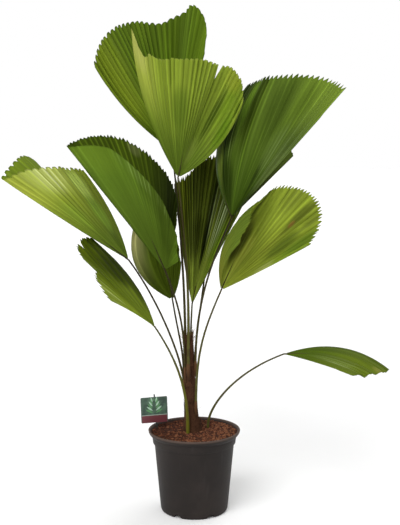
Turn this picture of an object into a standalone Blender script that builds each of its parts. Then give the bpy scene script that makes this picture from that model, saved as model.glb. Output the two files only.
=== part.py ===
"""Ruffled fan palm in a black nursery pot.

Metres, +Z up, +X to the right of the photo, the viewer on the -Y side.
The origin is the centre of the pot's flat underside.
"""
import math

import bmesh
import bpy
import numpy as np
from mathutils import Matrix, Vector

NAME = "potted_fan_palm"
MM = 0.001
GAP = 0.0003

POT_HEIGHT = 0.215
RIM_RADIUS = 0.120
COLLAR_RADIUS = 0.1100
BODY_RADIUS = 0.1040
FOOT_RADIUS = 0.0880
LIP_DROP = 0.015
COLLAR_DROP = 0.034
LIP_WALL = 0.0058
LIP_ROUND = 0.002
WALL = 0.0022
FLOOR = 0.013
FEET = 6
ARCH_HEIGHT = 0.0095
ARCH_WIDTH = 0.024
ARCH_NARROW = 0.55
DRAIN_RADIUS = 0.005
DRAIN_RING = 0.066
CUT_OVERRUN = 0.020
POT_STEPS = 48

SOIL_EDGE = 0.2095
SOIL_MOUND = 0.210
SOIL_FLAT = 0.060
SOIL_STEPS = 36

STEM_FOOT = Vector((-0.006, 0.008, SOIL_MOUND + GAP))
STEM_TIP = Vector((-0.016, 0.004, 0.470))
STEM_FLARE = 0.0215
STEM_LOW = 0.0165
STEM_HIGH = 0.0105
FLARE_FALL = 0.030
STEM_RINGS = 10
STEM_SIDES = 16
TIP_LENGTH = 0.014
TIP_RADIUS = 0.003

PETIOLE_SIDES = 8
PETIOLE_HEAD = 0.0021
PETIOLE_TAPER = 0.75
PETIOLE_RINGS = 11

SOIL_RISE = 0.005
HASTULA = 0.012
SEAT = 0.0005
PLEAT = 0.0030
# A rib at least this long has pleats of the full height.
FULL_PLEAT = 0.300
BLADE_THICKNESS = 0.011
BLADE_ROWS = (0.25, 0.5, 0.75, 1.0)
# The share of the full thickness that each row has, from the hastula out.
ROW_FULLNESS = (0.12, 0.6, 1.0, 1.0, 1.0)

CARD_WIDTH = 0.071
CARD_HEIGHT = 0.069
CARD_THICKNESS = 0.0012
CARD_CENTRE = Vector((-0.1058, 0.0250, 0.2595))
CARD_TILT = 2.0
CARD_TURN = 10.0
STICK_WIDTH = 0.0036
STICK_THICKNESS = 0.0020
# The ends of the stick, from the middle of the card and along it.
STICK_TOP = Vector((0.0001, 0.0, 0.0415))
STICK_FOOT = Vector((0.0074, 0.0, -0.0494))

# Each leaf has its hastula, where the blade joins its petiole, in millimetres,
# the number of teeth on its margin and their depth, its petiole and its guide
# ribs, which run from the viewer's left to right.  A guide rib is (turn, rise,
# length, bow, sweep): turn and rise in degrees, length in millimetres, and how
# far its middle is bowed out of the blade and swept along it, in parts of its length.
# A petiole is (place round the stem in degrees, height of its foot, length it
# runs upright, turn and rise where it meets the blade, length of that run,
# radius at its foot).
LEAVES = {
    "top_back": {
        "hastula": (-56, 30, 939), "teeth": 30, "tooth": 9, "petiole": (127, 400, 200, 127, 80, 200, 4.0),
        "ribs": ((163, 46, 305, 0, -0.06), (154, 53, 350, 0.02, -0.03), (134, 58, 390, 0.02, 0),
                 (113, 57, 415, 0, 0), (98, 56, 420, 0, 0), (86, 57, 445, 0, 0), (73, 62, 440, 0, 0),
                 (56, 62, 335, 0, 0.01), (48, 62, 225, 0, 0.02))},
    "top_front": {
        "hastula": (-40, -40, 873), "teeth": 28, "tooth": 4, "petiole": (-100, 370, 190, 215, 83, 310, 4.6),
        "ribs": ((228, 66, 385, 0.02, -0.07), (230, 66, 350, 0.02, -0.05), (242, 65, 320, 0.02, -0.02),
                 (267, 60, 320, 0.02, 0), (284, 58, 325, 0.02, 0), (298, 58, 320, 0.01, 0),
                 (309, 58, 310, 0, 0), (313, 54, 320, 0, 0), (315, 47, 310, 0.01, 0.03),
                 (320, 41, 270, 0.02, 0.09))},
    "upper_right": {
        "hastula": (93, -100, 778), "teeth": 30, "tooth": 8, "petiole": (-20, 375, 150, -23, 64, 160, 3.4),
        "ribs": ((52, 28, 315, 0, 0), (67, 44, 365, 0.05, 0), (78, 61, 335, 0.15, 0),
                 (39, 79, 330, 0.13, 0), (339, 71, 355, 0.06, 0), (346, 59, 390, 0.02, 0),
                 (4, 48, 415, 0, 0))},
    "mid_right": {
        "hastula": (67, -120, 600), "teeth": 26, "tooth": 7, "petiole": (-50, 270, 150, -28, 65, 120, 3.6),
        "ribs": ((300, 57, 145, -0.09, 0), (317, 64, 185, -0.14, 0), (339, 68, 220, -0.16, 0),
                 (3, 65, 255, -0.12, 0), (10, 61, 285, -0.06, 0), (10, 55, 305, -0.01, 0),
                 (5, 47, 320, 0.02, 0), (360, 38, 305, 0, -0.01), (352, 28, 240, 0, 0.01))},
    "centre_back": {
        "hastula": (-6, 70, 535), "teeth": 26, "tooth": 10, "petiole": (75, 400, 60, 76, 78, 60, 3.0),
        "ribs": ((131, 78, 325, 0, -0.03), (95, 72, 355, 0, 0), (78, 66, 420, 0, 0), (62, 63, 430, 0, 0),
                 (39, 63, 390, 0, 0), (22, 61, 330, 0, 0), (10, 64, 255, 0, 0))},
    "hidden_back": {
        "hastula": (31, 155, 632), "teeth": 20, "tooth": 7, "petiole": (24, 380, 90, 78, 66, 90, 3.2),
        "ribs": ((104, 43, 255, 0, -0.03), (93, 43, 365, 0, 0), (84, 40, 410, 0, 0), (73, 40, 370, 0, 0),
                 (56, 39, 265, 0, 0.03))},
    "mid_left": {
        "hastula": (-73, -60, 642), "teeth": 34, "tooth": 8, "petiole": (-137, 360, 125, 194, 68, 100, 3.2),
        "ribs": ((304, 24, 65, 0, 0), (302, 54, 100, 0, 0), (268, 71, 180, 0, 0), (219, 72, 265, 0, 0),
                 (192, 65, 335, 0, 0), (180, 52, 390, 0, 0), (163, 59, 385, 0, 0), (141, 64, 365, 0, 0),
                 (111, 67, 305, 0, 0), (79, 69, 225, 0, 0), (45, 69, 120, 0, 0))},
    "outer_left": {
        "hastula": (-165, -45, 666), "teeth": 28, "tooth": 8, "petiole": (200, 330, 66, 180, 53, 120, 3.2),
        "ribs": ((137, 32, 380, 0, 0), (150, 39, 410, 0, 0), (163, 38, 395, 0, 0),
                 (176, 32, 375, 0, 0.02), (180, 41, 340, 0, 0), (171, 49, 305, 0, 0),
                 (135, 52, 275, 0, 0.08))},
    "low_left": {
        "hastula": (-98, -80, 501), "teeth": 18, "tooth": 5, "petiole": (-120, 0, 88, 189, 57, 130, 5.0),
        "ribs": ((224, 30, 165, 0, 0.02), (224, 36, 215, 0, 0), (207, 45, 215, 0, 0),
                 (180, 45, 265, 0, 0), (165, 47, 290, 0, 0), (146, 47, 290, 0, 0.16))},
    "low_centre": {
        "hastula": (-56, 5, 556), "teeth": 16, "tooth": 4, "petiole": (160, 335, 95, 146, 79, 100, 3.2),
        "ribs": ((161, 68, 245, 0, -0.24), (152, 73, 250, 0, -0.2), (128, 75, 245, 0, -0.08),
                 (98, 76, 205, 0, 0), (75, 75, 155, 0, 0), (35, 75, 100, 0, 0.07))},
    "low_right": {
        "hastula": (231, -20, 419), "teeth": 20, "tooth": 2.5, "petiole": (0, 0, 50, -3, 21, 140, 3.6),
        "ribs": ((19, -12, 315, 0.125, 0), (11, -12, 280, 0.115, 0), (360, -12, 245, 0.1, 0),
                 (346, -12, 215, 0.07, 0), (328, -9, 190, 0.015, 0))},
}

# Two petioles rise from the soil beside the stem: where they stand.
SOIL_FEET = {"low_left": (-0.0165, -0.0215), "low_right": (0.036, 0.030)}

# A split that runs in from the margin: where along the margin, and how deep.
SPLITS = {"top_front": (0.68, 0.034), "low_left": (0.77, 0.022)}

GREENS = {
    "top_back": (0.10, 0.19, 0.025), "top_front": (0.22, 0.32, 0.06), "upper_right": (0.07, 0.15, 0.02),
    "mid_right": (0.17, 0.24, 0.04), "centre_back": (0.05, 0.09, 0.015), "hidden_back": (0.06, 0.12, 0.02),
    "mid_left": (0.09, 0.19, 0.025), "outer_left": (0.21, 0.31, 0.05), "low_left": (0.13, 0.22, 0.02),
    "low_centre": (0.08, 0.13, 0.02), "low_right": (0.11, 0.22, 0.025),
}


def collection(name):
    made = bpy.data.collections.new(name)
    bpy.context.scene.collection.children.link(made)
    return made


def material(name, colour, roughness):
    made = bpy.data.materials.new(name)
    made.use_nodes = True
    shader = made.node_tree.nodes["Principled BSDF"]
    shader.inputs["Base Color"].default_value = (*colour, 1.0)
    shader.inputs["Roughness"].default_value = roughness
    return made


def new_object(name, data, home, surface=None):
    made = bpy.data.objects.new(name, data)
    home.objects.link(made)
    if surface is not None:
        data.materials.append(surface)
    return made


def mesh_from(bm, name):
    data = bpy.data.meshes.new(name)
    bm.to_mesh(data)
    bm.free()
    return data


def turned(name, profile, steps, home, surface):
    """A solid turned round the Z axis from a profile that starts and ends on it."""
    bm = bmesh.new()
    verts = [bm.verts.new((r, 0.0, z)) for r, z in profile]
    for a, b in zip(verts, verts[1:]):
        bm.edges.new((a, b))
    data = bpy.data.meshes.new(name)
    bm.to_mesh(data)
    bm.free()
    made = new_object(name, data, home, surface)
    screw = made.modifiers.new("turn", "SCREW")
    screw.axis = "Z"
    screw.steps = steps
    screw.render_steps = steps
    screw.use_merge_vertices = True
    screw.merge_threshold = 0.00001
    screw.use_normal_calculate = True
    return made


def pot_inner_radius(z):
    """Radius of the inside of the wall at a height."""
    top = BODY_RADIUS - WALL
    foot = FOOT_RADIUS - WALL
    collar_foot = POT_HEIGHT - COLLAR_DROP
    if z < collar_foot:
        return foot + (top - foot) * z / collar_foot
    return top + (COLLAR_RADIUS - BODY_RADIUS) * (z - collar_foot) / (COLLAR_DROP - LIP_DROP)


def pot_profile():
    height = POT_HEIGHT
    lip_foot = height - LIP_DROP
    collar_foot = height - COLLAR_DROP
    return [
        (0.0, FLOOR), (pot_inner_radius(FLOOR), FLOOR),
        (pot_inner_radius(collar_foot), collar_foot),
        (pot_inner_radius(lip_foot), lip_foot), (RIM_RADIUS - LIP_WALL, height - LIP_ROUND),
        (RIM_RADIUS - 0.0045, height), (RIM_RADIUS - 0.0012, height), (RIM_RADIUS, height - 0.0015),
        (RIM_RADIUS - 0.0015, height - 0.0070), (RIM_RADIUS - 0.0070, lip_foot),
        (COLLAR_RADIUS, lip_foot - 0.001), (COLLAR_RADIUS - 0.0020, collar_foot),
        (BODY_RADIUS, collar_foot - 0.002), (FOOT_RADIUS + 0.0010, FLOOR),
        (FOOT_RADIUS - 0.0012, 0.003), (FOOT_RADIUS - 0.0045, 0.0), (0.0, 0.0)]


def arch_cutter(index, home):
    """A low groove between two feet, with a drain hole at its inner end."""
    angle = math.radians(-60.0 + 360.0 / FEET * index)
    reach = FOOT_RADIUS + CUT_OVERRUN - DRAIN_RING
    bm = bmesh.new()
    bmesh.ops.create_cube(bm, size=1.0)
    for vert in bm.verts:
        narrow = ARCH_NARROW if vert.co.z > 0 else 1.0
        across = vert.co.y * ARCH_WIDTH * narrow
        vert.co = Vector((DRAIN_RING + (vert.co.x + 0.5) * reach, across, vert.co.z * 2 * ARCH_HEIGHT))
    turn_bmesh(bm, angle)
    groove = new_object("arch_cutter_%d" % index, mesh_from(bm, "arch_cutter_%d" % index), home)
    bm = bmesh.new()
    bmesh.ops.create_cone(bm, cap_ends=True, segments=10, radius1=DRAIN_RADIUS, radius2=DRAIN_RADIUS,
                          depth=FLOOR + CUT_OVERRUN)
    for vert in bm.verts:
        vert.co.x += DRAIN_RING + DRAIN_RADIUS + 0.001
    turn_bmesh(bm, angle)
    drain = new_object("drain_cutter_%d" % index, mesh_from(bm, "drain_cutter_%d" % index), home)
    return [groove, drain]


def turn_bmesh(bm, angle):
    c = math.cos(angle)
    s = math.sin(angle)
    for vert in bm.verts:
        x = vert.co.x
        y = vert.co.y
        vert.co.x = x * c - y * s
        vert.co.y = x * s + y * c


def cut(target, cutters):
    for cutter in cutters:
        cutter.hide_render = True
        cutter.display_type = "WIRE"
        taken = target.modifiers.new("cut", "BOOLEAN")
        taken.operation = "DIFFERENCE"
        taken.solver = "EXACT"
        taken.object = cutter


def build_pot(home, tools):
    pot = turned("pot", pot_profile(), POT_STEPS, home, material("pot", (0.030, 0.026, 0.025), 0.55))
    cutters = []
    for index in range(FEET):
        cutters += arch_cutter(index, tools)
    cut(pot, cutters)
    return pot


def build_soil(home):
    """The filling: it stays GAP clear of the pot all round."""
    floor = FLOOR + GAP
    clear = GAP * 1.2
    collar_foot = POT_HEIGHT - COLLAR_DROP
    lip_foot = POT_HEIGHT - LIP_DROP
    wall_top = pot_inner_radius(lip_foot)
    share = (SOIL_EDGE - lip_foot) / (POT_HEIGHT - LIP_ROUND - lip_foot)
    edge = wall_top + (RIM_RADIUS - LIP_WALL - wall_top) * share
    profile = [(0.0, floor), (pot_inner_radius(floor) - clear, floor),
               (pot_inner_radius(collar_foot) - clear, collar_foot),
               (wall_top - clear, lip_foot), (edge - clear, SOIL_EDGE),
               (SOIL_FLAT, SOIL_MOUND), (0.0, SOIL_MOUND)]
    return turned("soil", profile, SOIL_STEPS, home, material("soil", (0.10, 0.045, 0.030), 0.95))


def tube(name, points, radii, home, surface, sides):
    """A tapered tube through the points."""
    curve = bpy.data.curves.new(name, "CURVE")
    curve.dimensions = "3D"
    curve.bevel_depth = 1.0
    curve.bevel_resolution = sides // 2 - 2
    curve.use_fill_caps = True
    line = curve.splines.new("POLY")
    line.points.add(len(points) - 1)
    for point, place, radius in zip(line.points, points, radii):
        point.co = (*place, 1.0)
        point.radius = radius
    return new_object(name, curve, home, surface)


def stem_axis(z):
    share = (z - STEM_FOOT.z) / (STEM_TIP.z - STEM_FOOT.z)
    return STEM_FOOT.lerp(STEM_TIP, share)


def stem_radius(z):
    """Radius of the sheathed stem, flared at the soil and closing to its tip."""
    share = (z - STEM_FOOT.z) / (STEM_TIP.z - STEM_FOOT.z)
    flare = (STEM_FLARE - STEM_LOW) * math.exp(-(z - STEM_FOOT.z) / FLARE_FALL)
    return STEM_LOW + (STEM_HIGH - STEM_LOW) * share + flare


def build_stem(home):
    top = STEM_TIP.z - TIP_LENGTH
    heights = list(np.linspace(STEM_FOOT.z, top, STEM_RINGS)) + [STEM_TIP.z]
    radii = [stem_radius(z) for z in heights[:-1]] + [TIP_RADIUS]
    points = [stem_axis(z) for z in heights]
    points[0].x = points[1].x
    points[0].y = points[1].y
    return tube("stem", points, radii, home, material("stem", (0.12, 0.055, 0.030), 0.9), STEM_SIDES)


def direction(turn, rise):
    t = math.radians(turn)
    r = math.radians(rise)
    return np.array((math.cos(r) * math.cos(t), math.cos(r) * math.sin(t), math.sin(r)))


def smooth_run(knots, values, places):
    """A smooth curve through the values at the knots, read at the places."""
    knots = np.asarray(knots, float)
    values = np.asarray(values, float)
    steps = np.diff(knots)
    slopes = np.diff(values, axis=0) / steps.reshape((-1,) + (1,) * (values.ndim - 1))
    tangents = np.empty_like(values)
    tangents[0] = slopes[0]
    tangents[-1] = slopes[-1]
    for i in range(1, len(knots) - 1):
        share = steps[i - 1] / (steps[i - 1] + steps[i])
        tangents[i] = slopes[i - 1] * (1 - share) + slopes[i] * share
    read = []
    for place in places:
        i = int(np.clip(np.searchsorted(knots, place) - 1, 0, len(knots) - 2))
        h = steps[i]
        s = (place - knots[i]) / h
        read.append((2 * s**3 - 3 * s**2 + 1) * values[i] + (s**3 - 2 * s**2 + s) * h * tangents[i]
                    + (3 * s**2 - 2 * s**3) * values[i + 1] + (s**3 - s**2) * h * tangents[i + 1])
    return np.array(read)


def unit(vectors):
    return vectors / np.linalg.norm(vectors, axis=-1, keepdims=True)


def spread_ribs(leaf, count):
    """Directions, lengths, bows and sweeps of evenly spread ribs of a leaf."""
    guides = leaf["ribs"]
    heading = np.array([direction(rib[0], rib[1]) for rib in guides])
    turns = np.arccos(np.clip((heading[1:] * heading[:-1]).sum(axis=1), -1, 1))
    knots = np.concatenate(([0.0], np.cumsum(turns)))
    fine = np.linspace(0.0, knots[-1], 241)
    run = unit(smooth_run(knots, heading, fine))
    arc = np.arccos(np.clip((run[1:] * run[:-1]).sum(axis=1), -1, 1))
    arc = np.concatenate(([0.0], np.cumsum(arc)))
    places = np.interp(np.linspace(0.0, arc[-1], count), arc, fine)
    heading = unit(smooth_run(knots, heading, places))
    length = smooth_run(knots, [rib[2] * MM for rib in guides], places)
    bow = smooth_run(knots, [rib[3] for rib in guides], places)
    sweep = smooth_run(knots, [rib[4] for rib in guides], places)
    return heading, length, bow, sweep


def blade_points(name, leaf):
    """The pleated middle surface of a blade: rows from the hastula to the margin."""
    teeth = leaf["teeth"]
    count = 2 * teeth + 1
    heading, length, bow, sweep = spread_ribs(leaf, count)
    along = unit(np.gradient(heading, axis=0))
    across = unit(np.cross(along, heading))
    side = np.where(np.arange(count) % 2, 1.0, -1.0)
    reach = length + side * leaf["tooth"] * MM / 2 * np.minimum(1.0, length / 0.2)
    reach[[0, -1]] = length[[0, -1]]
    if name in SPLITS:
        place, depth = SPLITS[name]
        reach[2 * round(place * teeth)] -= depth
    start = HASTULA / length
    base = np.array(leaf["hastula"]) * MM
    rows = [start] + [start + (reach / length - start) * share for share in BLADE_ROWS]
    points = []
    for t in rows:
        lift = 4.0 * t * (1.0 - t)
        height = side * PLEAT * np.minimum(1.0, length / FULL_PLEAT) * np.clip(t * 1.3 - 0.15, 0.0, 1.0)
        height[[0, -1]] *= 0.4
        curve = t[:, None] * heading + (lift * bow)[:, None] * across + (lift * sweep)[:, None] * along
        points.append(base + length[:, None] * curve + height[:, None] * across)
    return np.array(points)


def build_blade(name, leaf, home):
    points = blade_points(name, leaf)
    rows, columns = points.shape[:2]
    bm = bmesh.new()
    bmesh.ops.create_grid(bm, x_segments=columns - 1, y_segments=rows - 1, size=0.5)
    for vert in bm.verts:
        column = round((vert.co.x + 0.5) * (columns - 1))
        row = round((vert.co.y + 0.5) * (rows - 1))
        vert.co = Vector(points[row, column])
    data = bpy.data.meshes.new("blade_" + name)
    bm.to_mesh(data)
    bm.free()
    blade = new_object("blade_" + name, data, home, material("leaf_" + name, GREENS[name], 0.45))
    fullness = blade.vertex_groups.new(name="fullness")
    for vert in data.vertices:
        fullness.add([vert.index], ROW_FULLNESS[vert.index // columns], "REPLACE")
    shell = blade.modifiers.new("thickness", "SOLIDIFY")
    shell.thickness = max(rib[2] for rib in leaf["ribs"]) * MM * BLADE_THICKNESS
    shell.offset = 0.0
    shell.vertex_group = fullness.name
    return points[0, columns // 2]


def petiole_route(name, leaf, inner_edge):
    """A smooth run from the stem or the soil up to the inner edge of the blade."""
    ring, foot_z, upright, turn, rise, run, foot_radius = leaf["petiole"]
    foot_radius *= MM
    if name in SOIL_FEET:
        x, y = SOIL_FEET[name]
        foot = np.array((x, y, SOIL_MOUND + GAP))
    else:
        axis = stem_axis(foot_z * MM)
        out = direction(ring, 0.0) * (stem_radius(foot_z * MM) + foot_radius + GAP)
        foot = np.array(axis) + out
    head = np.array(leaf["hastula"]) * MM
    points = []
    if name in SOIL_FEET:
        points.append(foot)
        foot = foot + np.array((0.0, 0.0, SOIL_RISE))
    first = foot + np.array((0.0, 0.0, upright * MM))
    second = head - direction(turn, rise) * run * MM
    for t in np.linspace(0.0, 1.0, PETIOLE_RINGS):
        points.append((1 - t)**3 * foot + 3 * (1 - t)**2 * t * first
                      + 3 * (1 - t) * t * t * second + t**3 * head)
    points.append(head + (inner_edge - head) * (1.0 - SEAT / np.linalg.norm(inner_edge - head)))
    return points, foot_radius


def build_leaf(name, leaf, home):
    inner_edge = build_blade(name, leaf, home)
    points, foot_radius = petiole_route(name, leaf, inner_edge)
    share = np.linspace(0.0, 1.0, len(points))
    radii = foot_radius + (PETIOLE_HEAD - foot_radius) * share ** PETIOLE_TAPER
    surface = material("petiole_" + name, (0.10, 0.11, 0.035), 0.5)
    tube("petiole_" + name, points, radii, home, surface, PETIOLE_SIDES)


def box(name, size, stand, home, surface):
    bm = bmesh.new()
    bmesh.ops.create_cube(bm, size=1.0, matrix=stand @ Matrix.Diagonal((*size, 1.0)))
    return new_object(name, mesh_from(bm, name), home, surface)


def build_label(home):
    """A card, and a stick that stands close behind it."""
    plane = Matrix.Translation(CARD_CENTRE) @ Matrix.Rotation(math.radians(CARD_TURN), 4, "Z")
    card = plane @ Matrix.Rotation(math.radians(-CARD_TILT), 4, "Y")
    box("label_card", (CARD_WIDTH, CARD_THICKNESS, CARD_HEIGHT), card, home,
        material("label", (0.16, 0.24, 0.18), 0.5))
    rise = STICK_TOP - STICK_FOOT
    centre = (STICK_TOP + STICK_FOOT) / 2
    centre.y = CARD_THICKNESS / 2 + GAP + STICK_THICKNESS / 2
    stick = plane @ Matrix.Translation(centre) @ Matrix.Rotation(math.atan2(rise.x, rise.z), 4, "Y")
    box("label_stick", (STICK_WIDTH, STICK_THICKNESS, rise.length), stick, home,
        material("stick", (0.03, 0.04, 0.03), 0.5))


def main():
    for old in list(bpy.data.objects):
        bpy.data.objects.remove(old, do_unlink=True)
    home = collection(NAME)
    tools = collection("cutters")
    build_pot(home, tools)
    build_soil(home)
    build_stem(home)
    for name, leaf in LEAVES.items():
        build_leaf(name, leaf, home)
    build_label(home)


main()
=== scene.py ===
import math

import bmesh
import bpy
import numpy as np
from mathutils import Matrix, Vector, noise


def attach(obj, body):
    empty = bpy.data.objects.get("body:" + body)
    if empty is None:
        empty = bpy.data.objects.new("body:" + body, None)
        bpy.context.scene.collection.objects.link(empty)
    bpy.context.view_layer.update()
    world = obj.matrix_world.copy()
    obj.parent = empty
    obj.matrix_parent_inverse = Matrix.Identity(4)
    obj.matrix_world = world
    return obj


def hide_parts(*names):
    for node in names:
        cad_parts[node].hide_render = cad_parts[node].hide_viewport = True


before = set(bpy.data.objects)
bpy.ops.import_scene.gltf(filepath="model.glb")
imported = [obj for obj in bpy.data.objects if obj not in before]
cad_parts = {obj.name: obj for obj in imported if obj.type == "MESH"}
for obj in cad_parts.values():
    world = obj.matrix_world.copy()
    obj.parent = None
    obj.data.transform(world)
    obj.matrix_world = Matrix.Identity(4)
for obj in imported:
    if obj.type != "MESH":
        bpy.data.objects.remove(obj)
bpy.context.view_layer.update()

BODY = "root"
MM = 0.001
GAP = 0.0003

CAMERA_PLACE = (0.015, -2.5, 0.95)
CAMERA_PITCH = 83.25
CAMERA_LENS = 67.2

POT_HEIGHT = 0.215
RIM_RADIUS = 0.120
COLLAR_RADIUS = 0.1100
BODY_RADIUS = 0.1040
FOOT_RADIUS = 0.0880
LIP_DROP = 0.015
COLLAR_DROP = 0.034
LIP_WALL = 0.0058
WALL = 0.0022
FLOOR = 0.013
FEET = 6
ARCH_HEIGHT = 0.0095
ARCH_WIDTH = 0.024
DRAIN_RADIUS = 0.005
DRAIN_RING = 0.066
POT_STEPS = 144

SOIL_EDGE = 0.2095
SOIL_MOUND = 0.210
SOIL_RISE = 0.005

STEM_FOOT = Vector((-0.006, 0.008, SOIL_MOUND + GAP))
STEM_TIP = Vector((-0.016, 0.004, 0.470))
STEM_FLARE = 0.0215
STEM_LOW = 0.0165
STEM_HIGH = 0.0105
FLARE_FALL = 0.030

PETIOLE_HEAD = 0.0021
PETIOLE_TAPER = 0.75
HASTULA = 0.012
FULL_PLEAT = 0.300
BLADE_THICKNESS = 0.0007
BLADE_START = 0.006
BLADE_ROWS = 26
LEAF_GLOSS = 0.015
GROOVE_SHADE = 0.16

# Where the columns of a blade lie in one tooth, and how far the margin reaches
# there in parts of the tooth: each shape gives its own tips and sinuses.
TOOTH_STEPS = (0.0, 0.08, 0.20, 0.27, 0.35, 0.5, 0.65, 0.73, 0.80, 0.92)
TOOTH_SHAPES = {
    "pair": (-0.48, -0.36, 0.16, 0.52, 0.16, -0.30, 0.16, 0.48, 0.16, -0.36),
    "saw": (-0.48, -0.30, 0.05, 0.28, 0.52, -0.42, 0.00, 0.22, 0.36, 0.54),
    "block": (-0.50, -0.15, 0.34, 0.44, 0.50, 0.48, 0.42, 0.36, 0.16, -0.44),
    "comb": (-0.40, 0.10, 0.40, -0.30, 0.20, 0.52, -0.30, 0.10, 0.46, -0.10),
    "fringe": (-0.10, 0.30, 0.80, 0.00, 0.40, 0.95, 0.00, 0.45, 0.85, 0.20)}
TIP_TONE = (0.020, 0.036, 0.004)
TIP_STRENGTH = 0.6

CARD_WIDTH = 0.071
CARD_HEIGHT = 0.069
CARD_THICKNESS = 0.0012
CARD_CENTRE = Vector((-0.1058, 0.0250, 0.2595))
CARD_TILT = 2.0
CARD_TURN = 10.0
STICK_WIDTH = 0.0036
STICK_THICKNESS = 0.0020
# The ends of the stick, from the middle of the card and along it.
STICK_TOP = Vector((0.0001, 0.0, 0.0415))
STICK_FOOT = Vector((0.0074, 0.0, -0.0494))

# Each leaf has its hastula, where the blade joins its petiole, in millimetres,
# the number of teeth on its margin, its petiole and its guide ribs, which run
# from the viewer's left to right; the depth of its teeth is in LOOKS.  A guide
# rib is (turn, rise, length, bow, sweep): turn and rise in degrees, length in
# millimetres, and how far its middle is bowed out of the blade and swept along
# it, in parts of its length.
# A petiole is (place round the stem in degrees, height of its foot, length it
# runs upright, turn and rise where it meets the blade, length of that run,
# radius at its foot).
LEAVES = {
    "top_back": {
        "hastula": (-56, 30, 939), "teeth": 30, "petiole": (127, 400, 200, 127, 80, 200, 4.0),
        "ribs": ((163, 46, 305, 0, -0.06), (154, 53, 350, 0.02, -0.03), (134, 58, 390, 0.02, 0),
                 (113, 57, 415, 0, 0), (98, 56, 420, 0, 0), (86, 57, 445, 0, 0), (73, 62, 440, 0, 0),
                 (56, 62, 335, 0, 0.01), (48, 62, 225, 0, 0.02))},
    "top_front": {
        "hastula": (-40, -40, 873), "teeth": 28, "petiole": (-100, 370, 190, 215, 83, 310, 4.6),
        "ribs": ((228, 66, 385, 0.02, -0.07), (230, 66, 350, 0.02, -0.05), (242, 65, 320, 0.02, -0.02),
                 (267, 60, 320, 0.02, 0), (284, 58, 325, 0.02, 0), (298, 58, 320, 0.01, 0),
                 (309, 58, 310, 0, 0), (313, 54, 320, 0, 0), (315, 47, 310, 0.01, 0.03),
                 (320, 41, 270, 0.02, 0.09))},
    "upper_right": {
        "hastula": (93, -100, 778), "teeth": 30, "petiole": (-20, 375, 150, -23, 64, 160, 3.4),
        "ribs": ((52, 28, 315, 0, 0), (67, 44, 365, 0.05, 0), (78, 61, 335, 0.15, 0),
                 (39, 79, 330, 0.13, 0), (339, 71, 355, 0.06, 0), (346, 59, 390, 0.02, 0),
                 (4, 48, 415, 0, 0))},
    "mid_right": {
        "hastula": (67, -120, 600), "teeth": 26, "petiole": (-50, 270, 150, -28, 65, 120, 3.6),
        "ribs": ((300, 57, 145, -0.09, 0), (317, 64, 185, -0.14, 0), (339, 68, 220, -0.16, 0),
                 (3, 65, 255, -0.12, 0), (10, 61, 285, -0.06, 0), (10, 55, 305, -0.01, 0),
                 (5, 47, 320, 0.02, 0), (360, 38, 305, 0, -0.01), (352, 28, 240, 0, 0.01))},
    "centre_back": {
        "hastula": (-6, 70, 535), "teeth": 26, "petiole": (75, 400, 60, 76, 78, 60, 3.0),
        "ribs": ((131, 78, 325, 0, -0.03), (95, 72, 355, 0, 0), (78, 66, 420, 0, 0), (62, 63, 430, 0, 0),
                 (39, 63, 390, 0, 0), (22, 61, 330, 0, 0), (10, 64, 255, 0, 0))},
    "hidden_back": {
        "hastula": (31, 155, 632), "teeth": 20, "petiole": (24, 380, 90, 78, 66, 90, 3.2),
        "ribs": ((104, 43, 255, 0, -0.03), (93, 43, 365, 0, 0), (84, 40, 410, 0, 0), (73, 40, 370, 0, 0),
                 (56, 39, 265, 0, 0.03))},
    "mid_left": {
        "hastula": (-73, -60, 642), "teeth": 34, "petiole": (-137, 360, 125, 194, 68, 100, 3.2),
        "ribs": ((304, 24, 65, 0, 0), (302, 54, 100, 0, 0), (268, 71, 180, 0, 0), (219, 72, 265, 0, 0),
                 (192, 65, 335, 0, 0), (180, 52, 390, 0, 0), (163, 59, 385, 0, 0), (141, 64, 365, 0, 0),
                 (111, 67, 305, 0, 0), (79, 69, 225, 0, 0), (45, 69, 120, 0, 0))},
    "outer_left": {
        "hastula": (-165, -45, 666), "teeth": 28, "petiole": (200, 330, 66, 180, 53, 120, 3.2),
        "ribs": ((137, 32, 380, 0, 0), (150, 39, 410, 0, 0), (163, 38, 395, 0, 0),
                 (176, 32, 375, 0, 0.02), (180, 41, 340, 0, 0), (171, 49, 305, 0, 0),
                 (135, 52, 275, 0, 0.08))},
    "low_left": {
        "hastula": (-98, -80, 501), "teeth": 18, "petiole": (-120, 0, 88, 189, 57, 130, 5.0),
        "ribs": ((224, 30, 165, 0, 0.02), (224, 36, 215, 0, 0), (207, 45, 215, 0, 0),
                 (180, 45, 265, 0, 0), (165, 47, 290, 0, 0), (146, 47, 290, 0, 0.16))},
    "low_centre": {
        "hastula": (-56, 5, 556), "teeth": 16, "petiole": (160, 335, 95, 146, 79, 100, 3.2),
        "ribs": ((161, 68, 245, 0, -0.24), (152, 73, 250, 0, -0.2), (128, 75, 245, 0, -0.08),
                 (98, 76, 205, 0, 0), (75, 75, 155, 0, 0), (35, 75, 100, 0, 0.07))},
    "low_right": {
        "hastula": (231, -20, 419), "teeth": 20, "petiole": (0, 0, 50, -3, 21, 140, 3.6),
        "ribs": ((19, -12, 315, 0.125, 0), (11, -12, 280, 0.115, 0), (360, -12, 245, 0.1, 0),
                 (346, -12, 215, 0.07, 0), (328, -9, 190, 0.015, 0))},
}
SOIL_FEET = {"low_left": (-0.0165, -0.0215), "low_right": (0.036, 0.030)}
SPLITS = {"top_front": (0.68, 0.034), "low_left": (0.77, 0.022)}
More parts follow.
